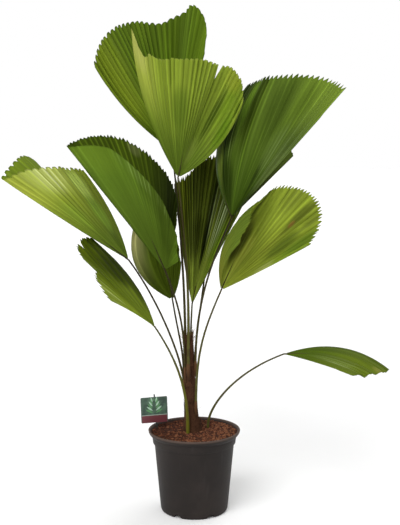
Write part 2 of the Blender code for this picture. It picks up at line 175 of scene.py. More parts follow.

# How each blade looks.  A face is (green near the petiole, green to the margin,
# green of the streaks, roughness): "face" is the side that shows first, and
# "back" the other.  A band is (place across the fan, half its width, where it
# begins, where it is full, colour, strength), places in parts of the blade.
# "face bands" are the face's, "back bands" the back's.  The greens, bands and spots
# hold painted shade and painted light as well as each leaf's own colour: dark ones paint
# the shade in folds, on far walls and deep in the crown, and pale ones paint light on lit
# lobes and edges.  Glints are painted highlights, and a leaf's crest value brightens
# its pleat crests as painted light.
LOOKS = {
    # top_back: the lighter band on the left lobe and the spots are partly the leaf's own tone and partly painted
    # light and painted shade.
    "top_back": {
        "pleat": 2.6, "crest_light": 0.45, "teeth": ("block", ((0, 9), (0.3, 9), (0.42, 5), (0.7, 4), (0.85, 3), (1, 7))),
        "face": ((0.045, 0.085, 0.004), (0.062, 0.105, 0.006), (0.105, 0.155, 0.014), 0.44),
        "back": ((0.060, 0.095, 0.010), (0.090, 0.130, 0.016), (0.120, 0.160, 0.030), 0.58),
        "face bands": ((0.10, 0.20, 0.1, 0.5, (0.138, 0.185, 0.012), 0.85),
                       (0.92, 0.12, 0.3, 0.7, (0.095, 0.158, 0.009), 0.8)),
        "face marks": ((0.76, 0.80, 0.08, 0.40, (0.058, 0.096, 0.008), 0.6),
                       (0.45, 0.95, 0.10, 0.20, (0.080, 0.128, 0.008), 0.6))},
    # top_front: the dark spot right of the main panel is painted shade in the fold; the pale left edge, the pale tip
    # and the green band on the right rim are partly painted light.
    "top_front": {
        "pleat": 2.0, "crest_light": 0.35, "teeth": ("block", ((0, 4), (0.6, 5), (0.75, 5), (1, 7))), "tip": ((0.26, 0.26, 0.09), 0.3),
        "face": ((0.085, 0.135, 0.012), (0.190, 0.255, 0.024), (0.220, 0.280, 0.050), 0.48),
        "back": ((0.060, 0.100, 0.008), (0.110, 0.160, 0.014), (0.140, 0.190, 0.026), 0.56),
        "face bands": ((0.00, 0.22, 0.40, 0.90, (0.290, 0.335, 0.050), 0.85),
                       (0.88, 0.12, 0.4, 0.75, (0.125, 0.205, 0.012), 0.8)),
        "face marks": ((0.00, 1.00, 0.08, 0.22, (0.330, 0.350, 0.080), 0.9),
                       (0.38, 0.60, 0.12, 0.24, (0.080, 0.130, 0.010), 0.7),
                       (0.81, 0.60, 0.055, 0.32, (0.034, 0.058, 0.003), 0.9),
                       (0.95, 0.62, 0.06, 0.24, (0.078, 0.150, 0.006), 0.8),
                       (0.83, 0.97, 0.10, 0.14, (0.215, 0.260, 0.022), 0.8),
                       (0.72, 0.24, 0.16, 0.18, (0.155, 0.210, 0.030), 0.7),
                       (0.96, 0.88, 0.03, 0.10, (0.060, 0.100, 0.006), 0.7))},
    # upper_right: the near-black bands and spots are painted shade in its folds and on its left part; the pale band
    # at the right margin is painted light, and the glints are painted highlight lines.
    "upper_right": {
        "pleat": 1.2, "crest_light": 0.8, "folds": 2, "teeth": ("saw", ((0, 6), (0.5, 7), (0.65, 12), (1, 12))),
        "face": ((0.036, 0.066, 0.005), (0.072, 0.116, 0.012), (0.110, 0.160, 0.030), 0.40),
        "back": ((0.030, 0.045, 0.004), (0.060, 0.090, 0.012), (0.090, 0.120, 0.020), 0.56),
        "face bands": ((0.570, 0.10, 0.00, 0.30, (0.008, 0.016, 0.002), 0.95),
                       (0.97, 0.20, 0.5, 0.95, (0.190, 0.285, 0.030), 0.85),
                       (0.69, 0.035, 0.35, 0.6, (0.021, 0.036, 0.002), 0.95)),
        "face marks": ((0.52, 0.42, 0.05, 0.26, (0.085, 0.118, 0.014), 0.8),
                       (0.61, 0.20, 0.09, 0.26, (0.009, 0.017, 0.001), 0.8),
                       (0.825, 0.32, 0.020, 0.24, (0.014, 0.026, 0.002), 0.85),
                       (0.640, 0.80, 0.035, 0.26, (0.112, 0.200, 0.016), 0.9),
                       (0.78, 0.76, 0.05, 0.30, (0.036, 0.060, 0.006), 0.8),
                       (0.865, 0.82, 0.04, 0.20, (0.070, 0.112, 0.010), 0.7),
                       (0.86, 0.50, 0.08, 0.20, (0.074, 0.116, 0.018), 0.8),
                       (0.96, 0.36, 0.09, 0.22, (0.105, 0.150, 0.030), 0.6)),
        "face glints": ((0.93, 0.45, 0.12, 0.40, (0.240, 0.330, 0.110), 0.4),
                        (0.60, 0.62, 0.06, 0.25, (0.150, 0.200, 0.060), 0.5))},
    # mid_right: the dark narrow band and spots along the groove are the painted shadow of the fold-over flap; the
    # pale band and spot in the middle near the base, and the paler base greens, are painted light that lifts the
    # shade there.
    "mid_right": {
        "pleat": 1.6, "crest_light": 0.35, "teeth": ("saw", ((0, 7), (0.5, 9), (0.8, 12), (1, 12))), "tip": (TIP_TONE, 0.3),
        "face": ((0.160, 0.195, 0.018), (0.190, 0.245, 0.022), (0.230, 0.290, 0.050), 0.46),
        "back": ((0.140, 0.150, 0.019), (0.090, 0.132, 0.015), (0.125, 0.185, 0.020), 0.50),
        "face bands": ((0.52, 0.14, 0.75, 0.25, (0.340, 0.400, 0.050), 0.8),
                       (0.46, 0.04, 0.1, 0.4, (0.034, 0.046, 0.004), 0.9),
                       (0.77, 0.03, 0.2, 0.5, (0.070, 0.080, 0.008), 0.6),
                       (0.98, 0.12, 0.3, 0.6, (0.110, 0.170, 0.009), 0.7)),
        "face marks": ((0.545, 0.34, 0.07, 0.22, (0.400, 0.440, 0.060), 0.75),
                       (0.480, 0.46, 0.045, 0.32, (0.028, 0.030, 0.003), 0.95),
                       (0.64, 0.92, 0.07, 0.22, (0.120, 0.150, 0.015), 0.8),
                       (0.76, 0.82, 0.045, 0.24, (0.062, 0.078, 0.008), 0.8),
                       (0.86, 0.62, 0.07, 0.24, (0.056, 0.082, 0.007), 0.85),
                       (0.84, 0.92, 0.04, 0.14, (0.105, 0.134, 0.014), 0.75),
                       (0.94, 0.84, 0.06, 0.24, (0.076, 0.128, 0.009), 0.8),
                       (0.97, 0.47, 0.05, 0.14, (0.260, 0.280, 0.080), 0.6),
                       (0.76, 0.74, 0.02, 0.05, (0.150, 0.085, 0.018), 0.8))},
    # centre_back: the dark margin green and the dark bands and spots are painted shade deep in the crown; the glints
    # are painted highlights on the pleats.
    "centre_back": {
        "pleat": 3.4, "crest_light": 2.0, "teeth": ("pair", ((0, 18), (0.4, 12), (1, 12))),
        "face": ((0.190, 0.245, 0.030), (0.038, 0.050, 0.004), (0.095, 0.122, 0.018), 0.36),
        "back": ((0.060, 0.090, 0.012), (0.090, 0.130, 0.020), (0.120, 0.150, 0.026), 0.58),
        "face bands": ((0.67, 0.13, 0.3, 0.6, (0.045, 0.070, 0.008), 0.75),
                       (0.49, 0.06, 0.12, 0.36, (0.009, 0.014, 0.001), 0.95),
                       (0.05, 0.22, 0.0, 0.2, (0.040, 0.044, 0.003), 0.8)),
        "face marks": ((0.09, 0.90, 0.07, 0.26, (0.076, 0.096, 0.007), 0.75),
                       (0.20, 0.70, 0.08, 0.22, (0.034, 0.044, 0.003), 0.6),
                       (0.30, 0.46, 0.22, 0.22, (0.018, 0.024, 0.002), 0.75),
                       (0.49, 0.40, 0.05, 0.20, (0.005, 0.008, 0.001), 0.9),
                       (0.82, 0.42, 0.18, 0.30, (0.090, 0.160, 0.006), 0.7)),
        "face glints": ((0.62, 0.62, 0.16, 0.34, (0.320, 0.380, 0.200), 0.8),)},
    "hidden_back": {
        "pleat": 2.6, "crest_light": 0.6, "teeth": ("pair", ((0, 7), (1, 7))),
        "face": ((0.040, 0.070, 0.004), (0.070, 0.110, 0.008), (0.110, 0.150, 0.016), 0.44),
        "back": ((0.060, 0.095, 0.012), (0.090, 0.130, 0.018), (0.120, 0.155, 0.026), 0.58)},
    # mid_left: the dark face greens are painted shade on the far wall, near black in its right band; the back's dark
    # bands are painted shade along the fold and the lower right, and its glints are painted highlights.
    "mid_left": {
        "pleat": 0.9, "folds": 2, "teeth": ("fringe", ((0, 2), (0.6, 2), (0.66, 6), (0.8, 9), (1, 10))),
        "face": ((0.036, 0.058, 0.004), (0.042, 0.066, 0.004), (0.070, 0.100, 0.010), 0.52),
        "back": ((0.052, 0.085, 0.008), (0.078, 0.135, 0.011), (0.100, 0.165, 0.022), 0.48),
        "face bands": ((0.93, 0.16, 0.0, 0.3, (0.006, 0.009, 0.001), 0.95),),
        "face marks": ((0.80, 0.97, 0.020, 0.08, (0.120, 0.135, 0.045), 0.5),),
        "face ridge": 1.2, "back ridge": 0.35,
        "back bands": ((0.30, 0.20, 0.1, 0.5, (0.028, 0.046, 0.004), 0.88),
                       (0.615, 0.03, 0.95, 0.75, (0.018, 0.034, 0.004), 0.95)),
        "back marks": ((0.55, 0.97, 0.07, 0.24, (0.094, 0.154, 0.012), 0.8),
                       (0.38, 0.85, 0.08, 0.30, (0.034, 0.056, 0.005), 0.7)),
        "back glints": ((0.40, 0.95, 0.12, 0.14, (0.160, 0.220, 0.060), 0.6),)},
    # outer_left: the pale band near the top margin and the glints are painted highlights; the yellow band to its left
    # is partly the leaf's own yellow and partly painted light.
    "outer_left": {
        "pleat": 1.0, "crest_light": 0.35, "teeth": ("block", ((0, 6), (0.5, 8), (1, 7))),
        "face": ((0.070, 0.108, 0.010), (0.200, 0.250, 0.024), (0.260, 0.310, 0.070), 0.40),
        "back": ((0.075, 0.110, 0.008), (0.150, 0.215, 0.016), (0.120, 0.170, 0.020), 0.50),
        "face bands": ((0.47, 0.12, 0.55, 0.85, (0.285, 0.325, 0.040), 0.85),
                       (0.66, 0.18, 0.65, 0.90, (0.400, 0.450, 0.100), 0.85),
                       (1.00, 0.03, 0.6, 0.9, (0.090, 0.160, 0.012), 0.8)),
        "face marks": ((0.84, 0.82, 0.08, 0.24, (0.440, 0.560, 0.110), 0.85),
                       (0.84, 0.50, 0.10, 0.26, (0.185, 0.300, 0.028), 0.8),
                       (0.58, 0.50, 0.10, 0.20, (0.135, 0.205, 0.019), 0.6)),
        "face glints": ((0.64, 0.92, 0.12, 0.22, (0.520, 0.560, 0.310), 0.75),)},
    # low_left: the pale band on the near lobe is painted light, the dark spots on the far lobe are painted shade, and
    # the glints are painted highlights.
    "low_left": {
        "pleat": 1.6, "crest_light": 0.5, "teeth": ("saw", ((0, 12), (0.3, 12), (0.38, 3), (0.6, 3), (0.65, 6), (0.85, 6), (1, 0))),
        "face": ((0.140, 0.190, 0.014), (0.082, 0.114, 0.006), (0.120, 0.165, 0.014), 0.42),
        "back": ((0.080, 0.110, 0.008), (0.110, 0.150, 0.014), (0.130, 0.170, 0.024), 0.54),
        "face bands": ((0.05, 0.28, 0.1, 0.4, (0.190, 0.248, 0.022), 0.85),
                       (0.50, 0.34, 0.0, 0.3, (0.125, 0.170, 0.012), 0.85),
                       (0.99, 0.08, 0.1, 0.4, (0.035, 0.052, 0.003), 0.8)),
        "face marks": ((0.72, 0.98, 0.06, 0.14, (0.110, 0.145, 0.007), 0.8),
                       (0.85, 0.36, 0.09, 0.20, (0.150, 0.205, 0.018), 0.75),
                       (0.90, 0.64, 0.10, 0.26, (0.028, 0.041, 0.002), 0.9),
                       (0.78, 0.74, 0.06, 0.20, (0.052, 0.074, 0.003), 0.7)),
        "face glints": ((0.08, 0.80, 0.12, 0.30, (0.330, 0.360, 0.150), 0.5),)},
    # low_centre: the pale band on the curled left edge is partly the leaf's pale rim and partly painted light.
    "low_centre": {
        "pleat": 1.4, "crest_light": 0.5, "teeth": ("pair", ((0, 3), (1, 3))),
        "face": ((0.036, 0.054, 0.003), (0.078, 0.118, 0.008), (0.090, 0.125, 0.018), 0.42),
        "back": ((0.050, 0.070, 0.008), (0.080, 0.105, 0.016), (0.100, 0.125, 0.024), 0.58),
        "face bands": ((0.07, 0.18, 0.15, 0.85, (0.460, 0.440, 0.180), 0.95),),
        "face marks": ((0.46, 0.14, 0.08, 0.12, (0.022, 0.026, 0.003), 0.7),)},
    # low_right: the narrow pale band and the glints are painted highlights, and the pale spot at the tip is painted
    # light.
    "low_right": {
        "pleat": 1.3, "crest_light": 0.6, "folds": 2, "teeth": ("saw", ((0, 3), (0.5, 3), (1, 7))),
        "face": ((0.055, 0.092, 0.005), (0.095, 0.134, 0.008), (0.140, 0.185, 0.030), 0.38),
        "back": ((0.060, 0.095, 0.008), (0.090, 0.130, 0.014), (0.110, 0.150, 0.022), 0.56),
        "face bands": ((0.71, 0.06, 0.45, 0.64, (0.260, 0.330, 0.110), 0.6),
                       (0.00, 0.12, 0.1, 0.3, (0.050, 0.070, 0.020), 0.5)),
        "face marks": ((0.24, 1.00, 0.12, 0.12, (0.210, 0.215, 0.040), 0.7),),
        "face glints": ((0.60, 0.60, 0.20, 0.35, (0.280, 0.340, 0.150), 0.4),)},
}


class Value:
    """A shader socket that Python's arithmetic works on: each operator adds a Math node."""

    def __init__(self, finish, socket):
        self.finish = finish
        self.socket = socket

    def math(self, operation, *values):
        return self.finish.node("ShaderNodeMath", {"operation": operation}, *values)

    def __add__(self, other):
        return self.math("ADD", self, other)

    def __sub__(self, other):
        return self.math("SUBTRACT", self, other)

    def __rsub__(self, other):
        return self.math("SUBTRACT", other, self)

    def __mul__(self, other):
        return self.math("MULTIPLY", self, other)

    def __truediv__(self, other):
        return self.math("DIVIDE", self, other)

    def __pow__(self, other):
        return self.math("POWER", self, other)

    def __abs__(self):
        return self.math("ABSOLUTE", self)

    __radd__ = __add__
    __rmul__ = __mul__


class Finish:
    """A material in the making, with one Principled shader."""

    def __init__(self, name, roughness, **constants):
        self.material = bpy.data.materials.new(name)
        self.material.use_nodes = True
        self.tree = self.material.node_tree
        self.shader = self.tree.nodes["Principled BSDF"]
        self.set(Roughness=roughness, **constants)

    def set(self, **sockets):
        for name, value in sockets.items():
            self.feed(self.shader.inputs[name.replace("_", " ")], value)

    def feed(self, socket, value):
        if isinstance(value, Value):
            self.tree.links.new(value.socket, socket)
        elif socket.type == "RGBA" and len(value) == 3:
            socket.default_value = (*value, 1.0)
        else:
            socket.default_value = value

    def node(self, kind, settings, *values, out=0, **named):
        made = self.tree.nodes.new(kind)
        for key, value in settings.items():
            if key == "stops":
                self.set_stops(made.color_ramp, value)
            else:
                setattr(made, key, value)
        for place, value in enumerate(values):
            self.feed(made.inputs[place], value)
        for name, value in named.items():
            self.feed(made.inputs[name], value)
        return Value(self, made.outputs[out])

    def set_stops(self, ramp, stops):
        while len(ramp.elements) < len(stops):
            ramp.elements.new(0.5)
        for element, (place, colour) in zip(ramp.elements, stops):
            element.position = place
            element.color = (*colour, 1.0)

    def object_place(self):
        return self.node("ShaderNodeTexCoord", {}, out=3)

    def surface_map(self, name):
        return self.node("ShaderNodeUVMap", {"uv_map": name})

    def split(self, vector):
        parts = self.node("ShaderNodeSeparateXYZ", {}, vector)
        sockets = parts.socket.node.outputs
        return [Value(self, socket) for socket in sockets]

    def join(self, x, y, z=0.0):
        return self.node("ShaderNodeCombineXYZ", {}, x, y, z)

    def noise(self, vector, scale, detail=3.0, roughness=0.55):
        return self.node("ShaderNodeTexNoise", {}, Vector=vector, Scale=scale, Detail=detail,
                         Roughness=roughness)

    def mix(self, share, first, second, blend="MIX"):
        made = self.node("ShaderNodeMix", {"data_type": "RGBA", "blend_type": blend}, share, out=2)
        inputs = made.socket.node.inputs
        self.feed(inputs[6], first)
        self.feed(inputs[7], second)
        return made

    def step(self, value, low, high):
        """0 below low and 1 above high, smooth between, or the other way round."""
        settings = {"interpolation_type": "SMOOTHSTEP"}
        if low < high:
            return self.node("ShaderNodeMapRange", settings, value, low, high, 0.0, 1.0)
        return self.node("ShaderNodeMapRange", settings, value, high, low, 1.0, 0.0)

    def bump(self, height, distance):
        return self.node("ShaderNodeBump", {}, Height=height, Distance=distance)


def leaf_finish(name, side, looks, teeth, seed):
    """Leaf green that streaks along the pleats: soft bands and spots give its own tones together with painted shade
    and painted light, the pleat grooves get painted shade, chosen crests get painted light, and the glints are
    painted highlights.
    """
    base, margin, streak, roughness = looks[side]
    pleat = looks["pleat"]
    finish = Finish("leaf_%s_%s" % (side, name), roughness, Specular_IOR_Level=LEAF_GLOSS)
    across, out, _ = finish.split(finish.surface_map("fan"))
    patches = finish.noise(finish.join(across * 0.16, out * 1.4, seed), 1.0, 2.0)
    streaks = finish.noise(finish.join(across * 1.3, out * 0.8, seed), 1.0, 3.0, 0.7)
    lines = finish.noise(finish.join(across * 5.0, out * 0.6, seed), 1.0, 2.0)
    threads = finish.noise(finish.join(across * 3.0, out * 0.6, seed), 1.0, 2.0)
    green = finish.mix(finish.step(out + 0.3 * patches, 0.30, 1.05), base, margin)
    fold = across * looks.get("folds", 1)
    # Painted shade: the pleat grooves darken towards half the margin green.
    groove = finish.step(abs(fold.math("FRACT", fold) - 0.5), 0.22, 0.5)
    green = finish.mix(groove * GROOVE_SHADE * pleat, green, [c * 0.5 for c in margin])
    place = across / teeth + 0.03 * patches - 0.015
    # Bands across the fan: the leaf's own tone mixed with painted shade in folds and on far walls, and painted light
    # on lit parts.
    for middle, width, begin, full, colour, strength in looks.get(side + " bands", ()):
        mask = finish.step(abs(place - middle), width, 0.0)
        green = finish.mix(mask * finish.step(out, begin, full) * strength, green, colour)
    crest = finish.step(abs(fold.math("FRACT", fold) - 0.5), 0.24, 0.04)
    sheen = finish.step(threads, 0.42, 0.60) * (crest * 0.75 + 0.25)
    # Spots of the leaf's own tone, painted shade and painted light; the glints along the crests are painted
    # highlights.
    for kind, veil in ((" marks", 1.0), (" glints", sheen)):
        for middle, height, width, length, colour, strength in looks.get(side + kind, ()):
            aside = (place - middle) / width
            above = (out - height) / length
            mask = finish.step(aside * aside + above * above, 1.0, 0.0)
            green = finish.mix(mask * (strength * veil), green, colour)
    # Painted light: chosen pleat crests are brightened.
    chosen = finish.step(finish.noise(finish.join(across * 0.8, out * 0.5, seed + 40), 1.0, 3.0), 0.42, 0.62)
    crest_light = looks.get(side + " ridge", looks.get("crest_light", 0.0))
    green = finish.mix(crest * chosen, green, (1.0 + crest_light,) * 3, "MULTIPLY")
    contrast = 0.06 + 0.05 * pleat
    shade = finish.mix(finish.step(streaks, 0.35, 0.70), (1.0 - contrast,) * 3, (1.0 + contrast,) * 3)
    green = finish.mix(1.0, green, shade, "MULTIPLY")
    green = finish.mix(finish.step(lines, 0.50, 0.78) * (0.22 + 0.10 * pleat), green, streak)
    tint, dark = looks.get("tip", (TIP_TONE, TIP_STRENGTH))
    green = finish.mix(finish.step(out, 0.990, 1.012) * dark, green, tint)
    finish.set(Base_Color=green, Roughness=roughness + 0.2 * streaks - 0.10)
    finish.set(Normal=finish.bump(lines * 0.5 + streaks * 0.5, 0.0004))
    return finish.material


def petiole_finish(name, low, high, speck):
    """A smooth rib that darkens towards the blade, with fine grooves along it."""
    finish = Finish(name, 0.5, Specular_IOR_Level=0.06)
    around, along, _ = finish.split(finish.surface_map("fan"))
    grain = finish.noise(finish.join(around * 26.0, along * 9.0), 1.0, 3.0)
    stain = finish.noise(finish.object_place(), 38.0, 3.0)
    colour = finish.mix(finish.step(along, 0.10, 0.95), low, high)
    colour = finish.mix(finish.step(stain, 0.52, 0.72) * 0.6, colour, speck)
    colour = finish.mix(grain * 0.35, colour, [c * 0.6 for c in high])
    finish.set(Base_Color=colour, Roughness=0.34 + 0.2 * grain)
    finish.set(Normal=finish.bump(grain, 0.0004))
    return finish.material


def stem_finish(name, dark, light):
    """Dry leaf sheaths: long brown fibres."""
    finish = Finish(name, 0.85, Specular_IOR_Level=0.05)
    around, along, _ = finish.split(finish.surface_map("fan"))
    fibres = finish.noise(finish.join(around * 46.0, along * 9.0), 1.0, 4.0, 0.65)
    blotch = finish.noise(finish.object_place(), 55.0, 3.0)
    colour = finish.mix(finish.step(fibres, 0.30, 0.70), dark, light)
    colour = finish.mix(finish.step(blotch, 0.5, 0.75) * 0.6, colour, [c * 0.45 for c in dark])
    finish.set(Base_Color=colour, Roughness=0.72 + 0.25 * fibres)
    finish.set(Normal=finish.bump(fibres, 0.0011))
    return finish.material


def bark_finish(name, dark, light):
    """A chip of composted bark or coir."""
    finish = Finish(name, 0.9, Specular_IOR_Level=0.05)
    grain = finish.noise(finish.object_place(), 420.0, 3.0, 0.6)
    finish.set(Base_Color=finish.mix(finish.step(grain, 0.3, 0.7), dark, light))
    finish.set(Normal=finish.bump(grain, 0.0006))
    return finish.material


def pot_finish():
    """Matt black-brown moulded plastic, dusty and lightly scuffed, with painted light on the top of its rim."""
    finish = Finish("pot_plastic", 0.5, Specular_IOR_Level=0.14)
    place = finish.object_place()
    _, _, height = finish.split(place)
    dust = finish.noise(place, 9.0, 4.0, 0.6)
    scuffs = finish.noise(finish.node("ShaderNodeMapping", {}, place, Scale=(60, 60, 7)), 1.0, 2.0)
    pores = finish.noise(place, 900.0, 2.0)
    colour = finish.mix(finish.step(dust, 0.35, 0.75), (0.016, 0.0128, 0.0115), (0.027, 0.021, 0.0185))
    colour = finish.mix(finish.step(scuffs, 0.62, 0.8) * 0.35, colour, (0.034, 0.030, 0.028))
    # Painted light: the top of the rim, above about 0.21 m, is lighter and browner.
    colour = finish.mix(finish.step(height, 0.208, 0.2145) * 0.75, colour, (0.100, 0.067, 0.052))
    finish.set(Base_Color=colour, Roughness=0.46 + 0.2 * dust)
    finish.set(Normal=finish.bump(pores * 0.5 + scuffs * 0.5, 0.0003))
    return finish.material


def new_piece(name, bm, finishes, replaced=(), crease=None):
    """Turns a bmesh into a smooth piece that stands with the plant."""
    mesh = bpy.data.meshes.new(name)
    bm.to_mesh(mesh)
    bm.free()
    for finish in finishes:
        mesh.materials.append(finish)
    piece = bpy.data.objects.new(name, mesh)
    bpy.context.scene.collection.objects.link(piece)
    mesh.shade_smooth()
    if crease is not None:
        mesh.set_sharp_from_angle(angle=math.radians(crease))
    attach(piece, BODY)
    if replaced:
        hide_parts(*replaced)
    return piece


def direction(turn, rise):
    t = math.radians(turn)
    r = math.radians(rise)
    return np.array((math.cos(r) * math.cos(t), math.cos(r) * math.sin(t), math.sin(r)))


def smooth_run(knots, values, places):
    """A smooth curve through the values at the knots, read at the places."""
    knots = np.asarray(knots, float)
    values = np.asarray(values, float)
    steps = np.diff(knots)
    slopes = np.diff(values, axis=0) / steps.reshape((-1,) + (1,) * (values.ndim - 1))
    tangents = np.empty_like(values)
    tangents[0] = slopes[0]
    tangents[-1] = slopes[-1]
    for i in range(1, len(knots) - 1):
        share = steps[i - 1] / (steps[i - 1] + steps[i])
        tangents[i] = slopes[i - 1] * (1 - share) + slopes[i] * share
    read = []
    for place in places:
        i = int(np.clip(np.searchsorted(knots, place) - 1, 0, len(knots) - 2))
        h = steps[i]
        s = (place - knots[i]) / h
        read.append((2 * s**3 - 3 * s**2 + 1) * values[i] + (s**3 - 2 * s**2 + s) * h * tangents[i]
                    + (3 * s**2 - 2 * s**3) * values[i + 1] + (s**3 - s**2) * h * tangents[i + 1])
    return np.array(read)


def unit(vectors):
    return vectors / np.linalg.norm(vectors, axis=-1, keepdims=True)


def spread_ribs(leaf, shares):
    """Directions, lengths, bows and sweeps of a leaf's ribs at shares of its whole fan."""
    guides = leaf["ribs"]
    heading = np.array([direction(rib[0], rib[1]) for rib in guides])
    turns = np.arccos(np.clip((heading[1:] * heading[:-1]).sum(axis=1), -1, 1))
    knots = np.concatenate(([0.0], np.cumsum(turns)))
    fine = np.linspace(0.0, knots[-1], 241)
    run = unit(smooth_run(knots, heading, fine))
    arc = np.arccos(np.clip((run[1:] * run[:-1]).sum(axis=1), -1, 1))
    arc = np.concatenate(([0.0], np.cumsum(arc)))
    places = np.interp(shares * arc[-1], arc, fine)
    heading = unit(smooth_run(knots, heading, places))
    length = smooth_run(knots, [rib[2] * MM for rib in guides], places)
    bow = smooth_run(knots, [rib[3] for rib in guides], places)
    sweep = smooth_run(knots, [rib[4] for rib in guides], places)
    return heading, length, bow, sweep


def tooth_reaches(name, leaf, length, places, chance):
    """How far each column of a blade reaches: toothed tips, sinuses and the torn splits."""
    shape, sizes = LOOKS[name]["teeth"]
    lobes = np.append(np.tile(TOOTH_SHAPES[shape], leaf["teeth"]), TOOTH_SHAPES[shape][0])
    lobes += 0.06 * chance.standard_normal(len(lobes)) * (lobes > 0.4)
    size = np.interp(places / leaf["teeth"], *zip(*sizes)) * MM
    size *= chance.uniform(0.7, 1.25, leaf["teeth"] + 1)[places.astype(int)]
    reach = length + size * lobes * np.minimum(1.0, length / 0.2)
    reach[[0, -1]] = length[[0, -1]]
    if name in SPLITS:
        place, depth = SPLITS[name]
        split = round(place * leaf["teeth"])
        reach -= depth * np.clip(1.0 - 2.0 * abs(places - split), 0.0, 1.0)
    return reach


def blade_points(name, leaf, chance):
    """The pleated surface of a blade, rows from the hastula to the margin, and its map."""
    teeth = leaf["teeth"]
    phase = np.append(np.tile(TOOTH_STEPS, teeth), 0.0)
    tooth = np.append(np.repeat(np.arange(teeth), len(TOOTH_STEPS)), teeth)
    shares = (tooth + phase) / teeth
    heading, length, bow, sweep = spread_ribs(leaf, shares)
    along = unit(np.gradient(heading, shares, axis=0))
    across = unit(np.cross(along, heading))
    reach = tooth_reaches(name, leaf, length, tooth + phase, chance)
    folds = LOOKS[name].get("folds", 1)
    crest = 1.0 - 2.0 * np.abs(2.0 * (phase * folds % 1.0) - 1.0)
    crest[[0, -1]] *= 0.4
    depth = 1.0 + 0.25 * np.sin(shares * 17.0 + chance.uniform(0, 6)) + 0.15 * np.sin(shares * 41.0)
    pleat = LOOKS[name]["pleat"] * MM / folds * depth * np.minimum(1.0, length / FULL_PLEAT)
    ruffle = 0.0022 * np.sin(shares * teeth * 1.15 + chance.uniform(0, 6))
    droop = chance.normal(0.0, 0.0011, teeth + 1)[tooth]
    start = BLADE_START / length
    base = np.array(leaf["hastula"]) * MM
    points = []
    fan_out = []
    for share in np.linspace(0.0, 1.0, BLADE_ROWS) ** 1.15:
        t = start + (reach / length - start) * share
        fan_out.append(t)
        lift = 4.0 * t * (1.0 - t)
        height = crest * pleat * np.clip(t * 1.15, 0.0, 1.0)
        height = height + (ruffle + droop * (share > 0.8)) * t * t
        curve = t[:, None] * heading + (lift * bow)[:, None] * across + (lift * sweep)[:, None] * along
        points.append(base + length[:, None] * curve + height[:, None] * across)
    return np.array(points), shares * teeth, np.array(fan_out)


def sheet_mesh(points, fan_across, fan_out=None):
    """A grid of points as a bmesh, with its place on the fan as a UV map."""
    rows, columns = points.shape[:2]
    if fan_out is None:
        fan_out = np.repeat(np.linspace(0.0, 1.0, rows)[:, None], columns, axis=1)
    bm = bmesh.new()
    bmesh.ops.create_grid(bm, x_segments=columns - 1, y_segments=rows - 1, size=0.5)
    bm.verts.ensure_lookup_table()
    fan = bm.loops.layers.uv.new("fan")
    bake = bm.loops.layers.uv.new("OFBake")
    for vert in bm.verts:
        vert.co.x = round((vert.co.x + 0.5) * (columns - 1))
        vert.co.y = round((vert.co.y + 0.5) * (rows - 1))
    for face in bm.faces:
        for loop in face.loops:
            column = int(loop.vert.co.x)
            row = int(loop.vert.co.y)
            loop[fan].uv = (fan_across[column], fan_out[row, column])
            loop[bake].uv = (column / (columns - 1), row / (rows - 1))
    for vert in bm.verts:
        vert.co = Vector(points[int(vert.co.y), int(vert.co.x)])
    return bm


def thicken(piece, thickness, faces):
    """Gives a sheet its thickness, and its two sides their own halves of the bake's map."""
    shell = piece.modifiers.new("thickness", "SOLIDIFY")
    shell.thickness = thickness
    shell.offset = 0.0
    shell.material_offset = 1
    shell.material_offset_rim = 0
    solid = bpy.data.meshes.new_from_object(piece.evaluated_get(bpy.context.evaluated_depsgraph_get()))
    piece.modifiers.clear()
    old = piece.data
    piece.data = solid
    bpy.data.meshes.remove(old)
    bake = solid.uv_layers["OFBake"].uv
    for polygon in solid.polygons:
        low, high = (0.005, 0.49) if polygon.index < faces else (0.51, 0.995)
        for loop in polygon.loop_indices:
            u, v = bake[loop].vector
            if polygon.index >= 2 * faces:
                low = 0.4925
                high = 0.5075
            bake[loop].vector = (0.005 + 0.99 * u, low + (high - low) * v)
    solid.set_sharp_from_angle(angle=math.radians(60))


def grow_blade(name, leaf, seed):
    chance = np.random.default_rng(seed)
    points, fan_across, fan_out = blade_points(name, leaf, chance)
    bm = sheet_mesh(points, fan_across, fan_out)
    faces = len(bm.faces)
    looks = LOOKS[name]
    finishes = [leaf_finish(name, "face", looks, leaf["teeth"], seed * 3.7),
                leaf_finish(name, "back", looks, leaf["teeth"], seed * 3.7 + 1.9)]
    blade = new_piece("leaf_" + name, bm, finishes, ("blade_" + name,))
    thicken(blade, BLADE_THICKNESS, faces)
    middle = points.shape[1] // 2
    return points[:, middle]


def stem_axis(z):
    share = (z - STEM_FOOT.z) / (STEM_TIP.z - STEM_FOOT.z)
    return STEM_FOOT.lerp(STEM_TIP, share)


def stem_radius(z):
    """Radius of the sheathed stem, flared at the soil and closing to its tip."""
    share = (z - STEM_FOOT.z) / (STEM_TIP.z - STEM_FOOT.z)
    flare = (STEM_FLARE - STEM_LOW) * math.exp(-(z - STEM_FOOT.z) / FLARE_FALL)
    return STEM_LOW + (STEM_HIGH - STEM_LOW) * share + flare


